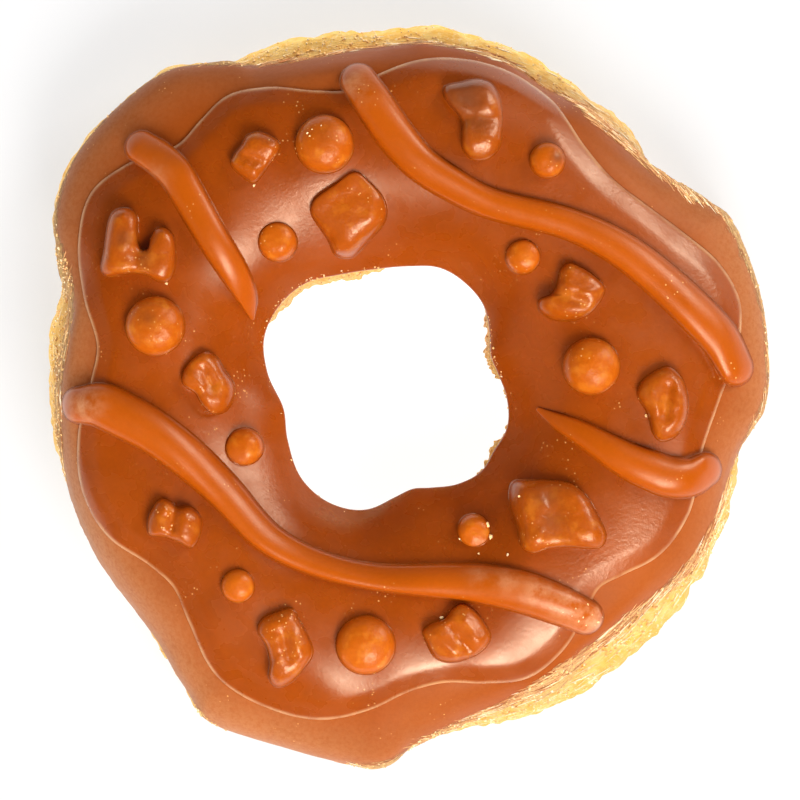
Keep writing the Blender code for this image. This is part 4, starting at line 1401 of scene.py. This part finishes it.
def unrolled(tree):
    """A place on the piece as its UV map gives it: X runs round the piece and Y across it."""
    return tree.nodes.new("ShaderNodeUVMap").outputs["UV"]


def stored(tree, name):
    """The value that a piece keeps under a name."""
    node = tree.nodes.new("ShaderNodeAttribute")
    node.attribute_name = name
    return node.outputs["Fac"]


def wired_to(shader, name):
    """The socket that feeds one of the shader's inputs so far."""
    return shader.inputs[name].links[0].from_socket


print("Values stored on the coat and its mesh:", len(coat.data.attributes))

# %% Patterns, sums and mixes
def noise(tree, place, scale, detail=2.0, rough=0.5):
    inputs = {"Vector": place, "Scale": scale, "Detail": detail, "Roughness": rough}
    return new_node(tree, "TexNoise", inputs).outputs["Fac"]


def remap(tree, value, low, high, out_low=0.0, out_high=1.0):
    """Moves the range low to high onto out_low to out_high, and cuts off what lies outside it."""
    inputs = {"Value": value, "From Min": low, "From Max": high, "To Min": out_low, "To Max": out_high}
    return new_node(tree, "MapRange", inputs).outputs["Result"]


def combined(tree, operation, first, second):
    node = new_node(tree, "Math", {0: first, 1: second})
    node.operation = operation
    return node.outputs[0]


def multiply(tree, first, second):
    return combined(tree, "MULTIPLY", first, second)


def add(tree, first, second):
    return combined(tree, "ADD", first, second)


def mix(tree, share, first, second):
    """Mixes two colours, each three numbers or a socket, by a socket."""
    node = tree.nodes.new("ShaderNodeMix")
    node.data_type = "RGBA"
    first, second = [(*colour, 1) if isinstance(colour, tuple) else colour for colour in (first, second)]
    wire(tree, node, {0: share, 6: first, 7: second})
    return node.outputs[2]


def bump(tree, height, strength, distance, over=None):
    """Low relief for the light only, alone or on top of another relief."""
    node = new_node(tree, "Bump", {"Height": height, "Strength": strength, "Distance": distance})
    if over is not None:
        wire(tree, node, {"Normal": over})
    return node.outputs["Normal"]


def colour_ramp(tree, value, stops):
    node = new_node(tree, "ValToRGB", {"Fac": value})
    ramp = node.color_ramp.elements
    for number, (place, colour) in enumerate(stops):
        stop = ramp[number] if number < 2 else ramp.new(place)
        stop.position = place
        stop.color = (*colour, 1)
    return node.outputs["Color"]


def along_rim(tree, round_ring, across):
    """Coordinates stretched along the ring or across it, for streaks."""
    inputs = {"Vector": unrolled(tree), "Scale": (round_ring, across, 1.0)}
    return new_node(tree, "Mapping", inputs).outputs["Vector"]


print("UV maps on the coat:", len(coat.data.uv_layers))

# %% [markdown]
# ## The smooth glaze
#
# The glaze is a fat-based caramel icing: opaque, satin, deep brown, with fine pale specks. One function
# makes it for the coat, the icing, the strands, the chunks and the drops, which differ in colour, gloss and
# how often a speck shows. Specks are the middles of small Voronoi cells, and larger clouds of noise choose
# which of them show, so that they come in loose groups as real ones do. On the toppings they also stand in
# for glints, as painted glints. A raised piece is mottled and has fine dents. It is painted darker towards
# its foot and on its lower sides, as painted shade, and it is glossier at its foot, where its glaze is thin
# and wet.

# %% Colours and grain sizes of the glaze
# Pale specks, which on the toppings also stand for painted glints.
SPECK_AND_GLINT_COLOUR = (0.90, 0.46, 0.15)
MOTTLE_COLOUR = (0.82, 0.26, 0.02)
# Pale film, partly a painted reflection on the strands' caps.
FROST_AND_REFLECTION_COLOUR = (0.80, 0.40, 0.20)
# Painted shade in dips and notches, partly a darker glaze.
SHADE_AND_DARK_GLAZE_COLOUR = (0.22, 0.055, 0.016)
# Painted shade on the lower sides and at the foot of a raised piece.
FOOT_SHADE_COLOUR = (0.24, 0.042, 0.001)
GLAZE_SHINE = (1.0, 0.84, 0.64, 1)
GLAZE_DEPTH_SHARE = 0.06
GLAZE_DEPTHS = (1.0, 0.35, 0.1)
GLAZE_IOR = 1.5
CLOUD_SCALE, FLECK_SCALE = 120, 1900
SPECK_AND_GLINT_SCALE, SPECK_AND_GLINT_GROUP_SCALE = 1400, 160
MOTTLE_SCALE, FILM_AND_REFLECTION_SCALE = 520, 420
SHEEN_SCALE, PORE_SCALE, DENT_SCALE = 400, 2200, 500
PORE_DEPTH, DENT_DEPTH = 0.00004, 0.00034
print("Glaze specks lie about", 1000 / SPECK_AND_GLINT_SCALE, "mm apart")

# %% The glaze
def unrolled_across(tree):
    """The place across a piece: 0 under it, 1 at its crown."""
    return new_node(tree, "SeparateXYZ", {"Vector": unrolled(tree)}).outputs["Y"]


def raised_colour(tree, place, colour, mottled):
    """Colour of a raised piece: mottle, pale film with painted reflection, painted shade in dips and foot.
    """
    mottle = remap(tree, noise(tree, place, MOTTLE_SCALE, 3), 0.52, 0.70, 0, mottled)
    colour = mix(tree, mottle, colour, MOTTLE_COLOUR)
    # Painted shade in dips and notches, partly a darker glaze.
    colour = mix(tree, stored(tree, "dull"), colour, SHADE_AND_DARK_GLAZE_COLOUR)
    # A pale film, partly a painted reflection on the round caps of the strands.
    film_and_reflection = remap(tree, noise(tree, place, FILM_AND_REFLECTION_SCALE, 4, 0.65), 0.38, 0.62)
    colour = mix(tree, multiply(tree, stored(tree, "frost_and_reflection"), film_and_reflection), colour, FROST_AND_REFLECTION_COLOUR)
    # Painted shade: darker on the lower sides and at the foot, where the piece meets the icing.
    return mix(tree, remap(tree, unrolled_across(tree), 0.05, 0.62), FOOT_SHADE_COLOUR, colour)


def glaze_material(name, deep, bright, roughness, shine, speck_and_glint_share, mottled=None):
    """A glaze between two colours, in which speck_and_glint_share is how often a speck shows.
    On the toppings these specks also stand for painted glints.

    Only a raised piece has mottled, the strength of its mottle, which may be 0. It gets a wet, glossy foot
    too, with painted shade on it and on its lower sides.
    """
    material, tree, shader = new_material(name)
    place = on_piece(tree)
    clouds = remap(tree, noise(tree, place, CLOUD_SCALE), 0.25, 0.75)
    flecks = remap(tree, noise(tree, place, FLECK_SCALE, 3, 0.7), 0.3, 0.7, -0.3, 0.3)
    colour = mix(tree, add(tree, clouds, flecks), deep, bright)
    cells = new_node(tree, "TexVoronoi", {"Vector": place, "Scale": SPECK_AND_GLINT_SCALE}).outputs["Distance"]
    chosen = remap(tree, noise(tree, place, SPECK_AND_GLINT_GROUP_SCALE, 3), 0.66 - speck_and_glint_share, 0.74 - speck_and_glint_share)
    sheen = remap(tree, noise(tree, place, SHEEN_SCALE), 0.3, 0.7, roughness - 0.04, roughness + 0.05)
    if mottled is not None:
        colour = raised_colour(tree, place, colour, mottled)
        chosen = multiply(tree, chosen, remap(tree, stored(tree, "dull"), 0.1, 0.5, 1, 0))
        sheen = multiply(tree, sheen, remap(tree, unrolled_across(tree), 0.12, 0.35, 0.5, 1.0))
    # Pale specks, partly painted glints on the toppings.
    speck_and_glint = multiply(tree, remap(tree, cells, 0.20, 0.10), chosen)
    relief = bump(tree, noise(tree, place, PORE_SCALE, 3), 0.4, PORE_DEPTH)
    if mottled:
        relief = bump(tree, noise(tree, place, DENT_SCALE, 3), 0.6, DENT_DEPTH, relief)
    wire(tree, shader, {
        "Base Color": mix(tree, speck_and_glint, colour, SPECK_AND_GLINT_COLOUR),
        "Roughness": sheen,
        "Normal": relief,
        "IOR": GLAZE_IOR,
        "Specular IOR Level": shine,
        "Specular Tint": GLAZE_SHINE,
        "Subsurface Weight": GLAZE_DEPTH_SHARE,
        "Subsurface Radius": GLAZE_DEPTHS,
        "Subsurface Scale": MM,
    })
    return material


print("Specks take the colour", SPECK_AND_GLINT_COLOUR)

# %% The five glazes
coat_glaze = glaze_material(
    "coat_glaze", deep=(0.36, 0.070, 0.007), bright=(0.43, 0.090, 0.011),
    roughness=0.42, shine=0.15, speck_and_glint_share=0.06,
)
icing_glaze = glaze_material(
    "icing_glaze", deep=(0.33, 0.054, 0.001), bright=(0.40, 0.068, 0.001),
    roughness=0.27, shine=0.95, speck_and_glint_share=0.05,
)
# The strands, chunks and balls carry the icing's glaze. Their lighter, more orange colours are partly
# painted light, since raised pieces catch more light, and partly a thinner glaze over a lighter base.
strand_glaze = glaze_material(
    "strand_glaze", deep=(0.49, 0.088, 0.001), bright=(0.56, 0.103, 0.002),
    roughness=0.33, shine=0.55, speck_and_glint_share=0.08, mottled=0.0,
)
chunk_glaze = glaze_material(
    "chunk_glaze", deep=(0.42, 0.074, 0.002), bright=(0.54, 0.105, 0.003),
    roughness=0.31, shine=0.70, speck_and_glint_share=0.14, mottled=0.35,
)
ball_glaze = glaze_material(
    "ball_glaze", deep=(0.55, 0.102, 0.002), bright=(0.65, 0.136, 0.004),
    roughness=0.36, shine=0.50, speck_and_glint_share=0.20, mottled=0.5,
)
print("Glazes:", [item.name for item in bpy.data.materials if item.name.endswith("_glaze")])

# %% [markdown]
# ## The rough rim of the coat
#
# Beyond the line where the smooth glaze ends, the rim shows torn crumb: brown to pale gold, in streaks that
# run along the ring, because torn crumb pulls out in that direction. The UV map runs round the ring, so
# noise stretched on it gives the streaks. A second noise moves the line in and out, which makes its edge
# ragged. The outermost, upward part is bare gold, as the dough is. Inside the line a thin veil of dust
# lies over the glaze, with a painted reflection that grows towards the rim.

# %% The rough rim
GOLD = (0.97, 0.55, 0.09)
PALE_GOLD = (0.98, 0.68, 0.21)
# Dust colour, also used as a painted reflection towards the rim.
DUST_AND_REFLECTION_COLOUR = (0.62, 0.28, 0.12)
RIM_COLOURS = [
    (0.0, (0.32, 0.10, 0.025)), (0.25, (0.54, 0.22, 0.085)), (0.45, (0.76, 0.40, 0.18)),
    (0.70, (0.95, 0.62, 0.25)), (1.0, (0.99, 0.88, 0.65)),
]
GOLD_SCALE, GRAIN_SCALE = 420, 1700
CRUST_DEPTH = 0.0004


def gold_patches(tree, place):
    """Patches of gold and pale gold, as on bare dough."""
    return mix(tree, remap(tree, noise(tree, place, GOLD_SCALE, 3), 0.40, 0.60), GOLD, PALE_GOLD)


def roughen_rim(material):
    """Adds the dust with its painted reflection and the streaks of the rim over the coat's smooth glaze."""
    tree = material.node_tree
    shader = tree.nodes["Principled BSDF"]
    place = on_piece(tree)
    streak = noise(tree, along_rim(tree, round_ring=60, across=150), 1.0, 4, 0.6)
    grains = noise(tree, place, GRAIN_SCALE, 3, 0.7)
    crust = remap(tree, streak, 0.3, 0.7, 0.1, 0.55)
    crust = add(tree, crust, remap(tree, grains, 0.3, 0.7, 0.0, 0.4))
    ragged_line = noise(tree, along_rim(tree, round_ring=180, across=90), 1.0, 4, 0.65)
    beyond = add(tree, stored(tree, "beyond"), remap(tree, ragged_line, 0.2, 0.8, -1.0, 1.0))
    rough = remap(tree, beyond, -0.1, 0.15)
    # Dust and painted reflection, lighter towards the rim of the coat.
    rim_dust_and_reflection = multiply(tree, stored(tree, "rim_dust_and_reflection"), remap(tree, grains, 0.3, 0.6, 0.5, 1.0))
    colour = mix(tree, rim_dust_and_reflection, wired_to(shader, "Base Color"), DUST_AND_REFLECTION_COLOUR)
    colour = mix(tree, rough, colour, colour_ramp(tree, crust, RIM_COLOURS))
    bare = remap(tree, beyond, 1.3, 2.1, 0.0, 0.85)
    bare = multiply(tree, bare, remap(tree, stored(tree, "upward"), 0.15, 0.45))
    colour = mix(tree, bare, colour, gold_patches(tree, place))
    sheen = add(tree, wired_to(shader, "Roughness"), remap(tree, rough, 0, 1, 0, 0.3))
    relief = bump(tree, multiply(tree, crust, rough), 0.9, CRUST_DEPTH, wired_to(shader, "Normal"))
    wire(tree, shader, {"Base Color": colour, "Roughness": sheen, "Normal": relief})


roughen_rim(coat_glaze)
print("Nodes in the coat's glaze:", len(coat_glaze.node_tree.nodes))

# %% [markdown]
# ## Satin areas and the painted highlight along the icing's foot
#
# Where the icing is satin, its surface is finely pitted, so the satin spots raise both the roughness and a
# fine bump. Along its foot the icing gets a thin pale line, a painted highlight on its low rim. The
# distance from the edge draws it, and noise breaks it up.

# %% Satin areas and the painted highlight line
# A painted highlight along the foot of the icing.
EDGE_HIGHLIGHT_COLOUR = (0.72, 0.36, 0.15)
SATIN_ROUGHNESS = 0.13
PIT_SCALE, PIT_DEPTH = 1500, 0.0001
HIGHLIGHT_BREAK_SCALE = 350


def finish_icing(material):
    """Adds the satin areas and the painted highlight line along the foot over the icing's smooth glaze."""
    tree = material.node_tree
    shader = tree.nodes["Principled BSDF"]
    place = on_piece(tree)
    satin = stored(tree, "satin")
    sheen = add(tree, wired_to(shader, "Roughness"), remap(tree, satin, 0, 1, 0, SATIN_ROUGHNESS))
    pits = multiply(tree, noise(tree, place, PIT_SCALE, 3, 0.65), satin)
    relief = bump(tree, pits, 0.7, PIT_DEPTH, wired_to(shader, "Normal"))
    broken = remap(tree, noise(tree, place, HIGHLIGHT_BREAK_SCALE, 3), 0.3, 0.6, 0.3, 1.0)
    # A thin pale line painted along the foot: a painted highlight on the icing's low rim.
    line = multiply(tree, remap(tree, stored(tree, "edge"), 0.15, 0.5, 0.75, 0.0), broken)
    colour = mix(tree, line, wired_to(shader, "Base Color"), EDGE_HIGHLIGHT_COLOUR)
    wire(tree, shader, {"Base Color": colour, "Roughness": sheen, "Normal": relief})


finish_icing(icing_glaze)
print("Nodes in the icing's glaze:", len(icing_glaze.node_tree.nodes))

# %% [markdown]
# ## The dough and its crumbs
#
# Bare dough is dry and fibrous: gold in patches, with brown and pale flakes and a dusting of flour. Near
# the coat it is tanned and streaked like the rim. It has no gloss to speak of. The crumbs and fibres came
# off the same crust, so they take their colours from the same ramp, each by a shade of its own that is
# stored on it.

# %% The dough
BROWN_FLAKE = (0.74, 0.40, 0.10)
PALE_FLAKE = (0.99, 0.86, 0.55)
FLOUR = (0.99, 0.88, 0.60)
FLOUR_SCALE, CRUMB_SCALE = 1500, 2500
FLAKE_DEPTH, FLOUR_DEPTH = 0.0003, 0.0001


def dough_material():
    """Bare dough: flakes and flour over gold patches, tanned and streaked near the coat."""
    material, tree, shader = new_material("dough")
    place = on_piece(tree)
    fibres = noise(tree, along_rim(tree, round_ring=170, across=110), 1.0, 4, 0.6)
    flakes = noise(tree, along_rim(tree, round_ring=260, across=260), 1.0, 4, 0.65)
    flour = noise(tree, place, FLOUR_SCALE, 3, 0.7)
    colour = gold_patches(tree, place)
    colour = mix(tree, remap(tree, flakes, 0.44, 0.30, 0, 0.6), colour, BROWN_FLAKE)
    colour = mix(tree, remap(tree, flakes, 0.54, 0.66, 0, 0.6), colour, PALE_FLAKE)
    colour = mix(tree, remap(tree, flour, 0.56, 0.70, 0, 0.7), colour, FLOUR)
    streaked = colour_ramp(tree, remap(tree, fibres, 0.3, 0.7, 0.30, 1.0), RIM_COLOURS)
    near_coat = remap(tree, stored(tree, "beyond"), 0.4, 2.6, 1.0, 0.1)
    colour = mix(tree, multiply(tree, near_coat, stored(tree, "tanned")), colour, streaked)
    relief = bump(tree, flour, 0.4, FLOUR_DEPTH, bump(tree, flakes, 0.8, FLAKE_DEPTH))
    wire(tree, shader, {"Base Color": colour, "Normal": relief})
    wire(tree, shader, {"Roughness": 0.75, "Specular IOR Level": 0.2})
    return material


def loose_material(name):
    """Crumbs or fibres, each in its own shade of the crust's colours."""
    material, tree, shader = new_material(name)
    mottle = remap(tree, noise(tree, on_piece(tree), CRUMB_SCALE), 0.3, 0.7, -0.12, 0.12)
    colour = colour_ramp(tree, add(tree, stored(tree, "shade"), mottle), RIM_COLOURS)
    wire(tree, shader, {"Base Color": colour, "Roughness": 0.7, "Specular IOR Level": 0.15})
    return material


print("Colours of the crust:", len(RIM_COLOURS))

# %% [markdown]
# ## Dressing the pieces
#
# Each piece is made of one thing, so it has one material slot. The balls and the chunks share the list of
# toppings, and their names tell them apart.

# %% Give each piece its finish
def give(piece, material):
    piece.data.materials.clear()
    piece.data.materials.append(material)


give(dough, dough_material())
give(coat, coat_glaze)
give(crumbs, loose_material("crumb"))
give(fibres, loose_material("fibre"))
give(icing, icing_glaze)
for strand in strands:
    give(strand, strand_glaze)
for topping in toppings:
    give(topping, ball_glaze if topping.name.startswith("ball") else chunk_glaze)
print("Materials:", len(bpy.data.materials))

# %% [markdown]
# ## Table and camera
#
# The doughnut was photographed from straight above on a table that shows as pure white. A white table under
# strong lights would also throw light back under the rim. So this one is grey and glows by itself, more in
# the hole, where little light gets in. The camera is far above with a long lens, which keeps the sides of
# the ring out of sight, as in the photograph.

# %% Table
TABLE_SIZE = 3.0
TABLE_GREY = (0.30, 0.31, 0.33, 1)
GLOW_COLOUR = (1, 1, 1, 1)
GLOW_IN_HOLE, GLOW_BEYOND = 0.95, 0.66
HOLE_REACH, RIM_REACH = 0.018, 0.05
bpy.ops.object.select_all(action="DESELECT")
bpy.ops.mesh.primitive_plane_add(size=TABLE_SIZE, location=(0, 0, 0))
table = bpy.context.active_object
table.name = "table"
white_table, tree, shader = new_material("white_table")
reach = new_node(tree, "VectorMath", {0: on_piece(tree)})
reach.operation = "LENGTH"
glow = remap(tree, reach.outputs["Value"], HOLE_REACH, RIM_REACH, GLOW_IN_HOLE, GLOW_BEYOND)
wire(tree, shader, {
    "Base Color": TABLE_GREY, "Roughness": 0.9, "Emission Color": GLOW_COLOUR, "Emission Strength": glow,
})
give(table, white_table)
print("The table is", TABLE_SIZE, "m wide")

# %% Camera
CAMERA_PLACE = (-0.00108, -0.00054, 0.609)
CAMERA_LENS = 200
SENSOR_WIDTH = 36
bpy.ops.object.camera_add(location=CAMERA_PLACE, rotation=(0, 0, 0))
camera = bpy.context.active_object
camera.data.lens = CAMERA_LENS
camera.data.sensor_width = SENSOR_WIDTH
camera.data.clip_start = 0.01
bpy.context.scene.camera = camera
print("The camera sees", round(CAMERA_PLACE[2] * SENSOR_WIDTH / CAMERA_LENS * 1000), "mm of the table")

# %% [markdown]
# ## Light
#
# The key is a soft box at the lower right, built from three nested boxes so that its mirror image on the
# glaze fades outwards. A narrow box at the right gives the streak along that side. The other lights only
# brighten: most of them aren't mirrored in the glaze, and two light the crust alone, as small spots would.
# Area lights were chosen because their mirror image on the glaze has the shape of a soft box, which a point
# light or a plain sky can't give.

# %% One soft box
LIGHT_DISTANCE = 0.7
LIGHT_COLOUR = (1.0, 0.96, 0.91)
crust_pieces = bpy.data.collections.new("crust_pieces")
for piece in (dough, crumbs, fibres):
    crust_pieces.objects.link(piece)


def add_light(name, azimuth, elevation, width, height, radiance, mirrored=True, crust_only=False):
    """A soft box aimed at the doughnut, from angles in degrees and its sides in metres.

    One that isn't mirrored only brightens, as a light behind a polariser does, and one can light the crust
    alone, as a small spot does.
    """
    turn, tilt = math.radians(azimuth), math.radians(elevation)
    direction = Vector((math.cos(turn) * math.cos(tilt), math.sin(turn) * math.cos(tilt), math.sin(tilt)))
    bpy.ops.object.light_add(type="AREA", location=direction * LIGHT_DISTANCE)
    light = bpy.context.active_object
    light.name = name
    light.rotation_euler = direction.to_track_quat("Z", "Y").to_euler()
    light.data.shape = "RECTANGLE"
    light.data.size = width
    light.data.size_y = height
    light.data.energy = radiance * math.pi * width * height
    light.data.color = LIGHT_COLOUR
    light.visible_glossy = mirrored
    if crust_only:
        light.light_linking.receiver_collection = crust_pieces


# %% All the lights: azimuth, elevation, width, height and radiance
add_light("key_core", -66, 49, 0.29, 0.25, 13.0)
add_light("key", -66, 53, 0.36, 0.30, 3.8)
add_light("key_edge", -64, 57, 0.46, 0.42, 1.5)
add_light("key_low", -70, 27, 0.40, 0.30, 1.6, mirrored=False)
add_light("side_core", 36, 28, 0.24, 0.30, 8.5)
add_light("side", 35, 26, 0.24, 0.34, 1.4)
add_light("back", 50, 52, 0.26, 0.22, 1.0)
add_light("left", 215, 34, 0.40, 0.40, 3.2, mirrored=False)
add_light("left_sheen", 186, 26, 0.34, 0.34, 0.2)
add_light("wall", 160, 16, 0.50, 0.24, 1.2, mirrored=False)
add_light("behind", 95, 12, 0.90, 0.20, 1.0, mirrored=False)
add_light("crust_behind", 90, 24, 0.80, 0.30, 4.5, mirrored=False, crust_only=True)
add_light("crust_left", 190, 24, 0.60, 0.30, 4.0, mirrored=False, crust_only=True)

SKY_COLOUR = (1.0, 0.97, 0.94, 1)
SKY_STRENGTH = 0.04
studio = bpy.data.worlds.new("studio")
bpy.context.scene.world = studio
studio.use_nodes = True
tree = studio.node_tree
wire(tree, tree.nodes["Background"], {"Color": SKY_COLOUR, "Strength": SKY_STRENGTH})
bpy.context.scene.view_settings.view_transform = "Standard"
print("Lights:", len(bpy.data.lights))
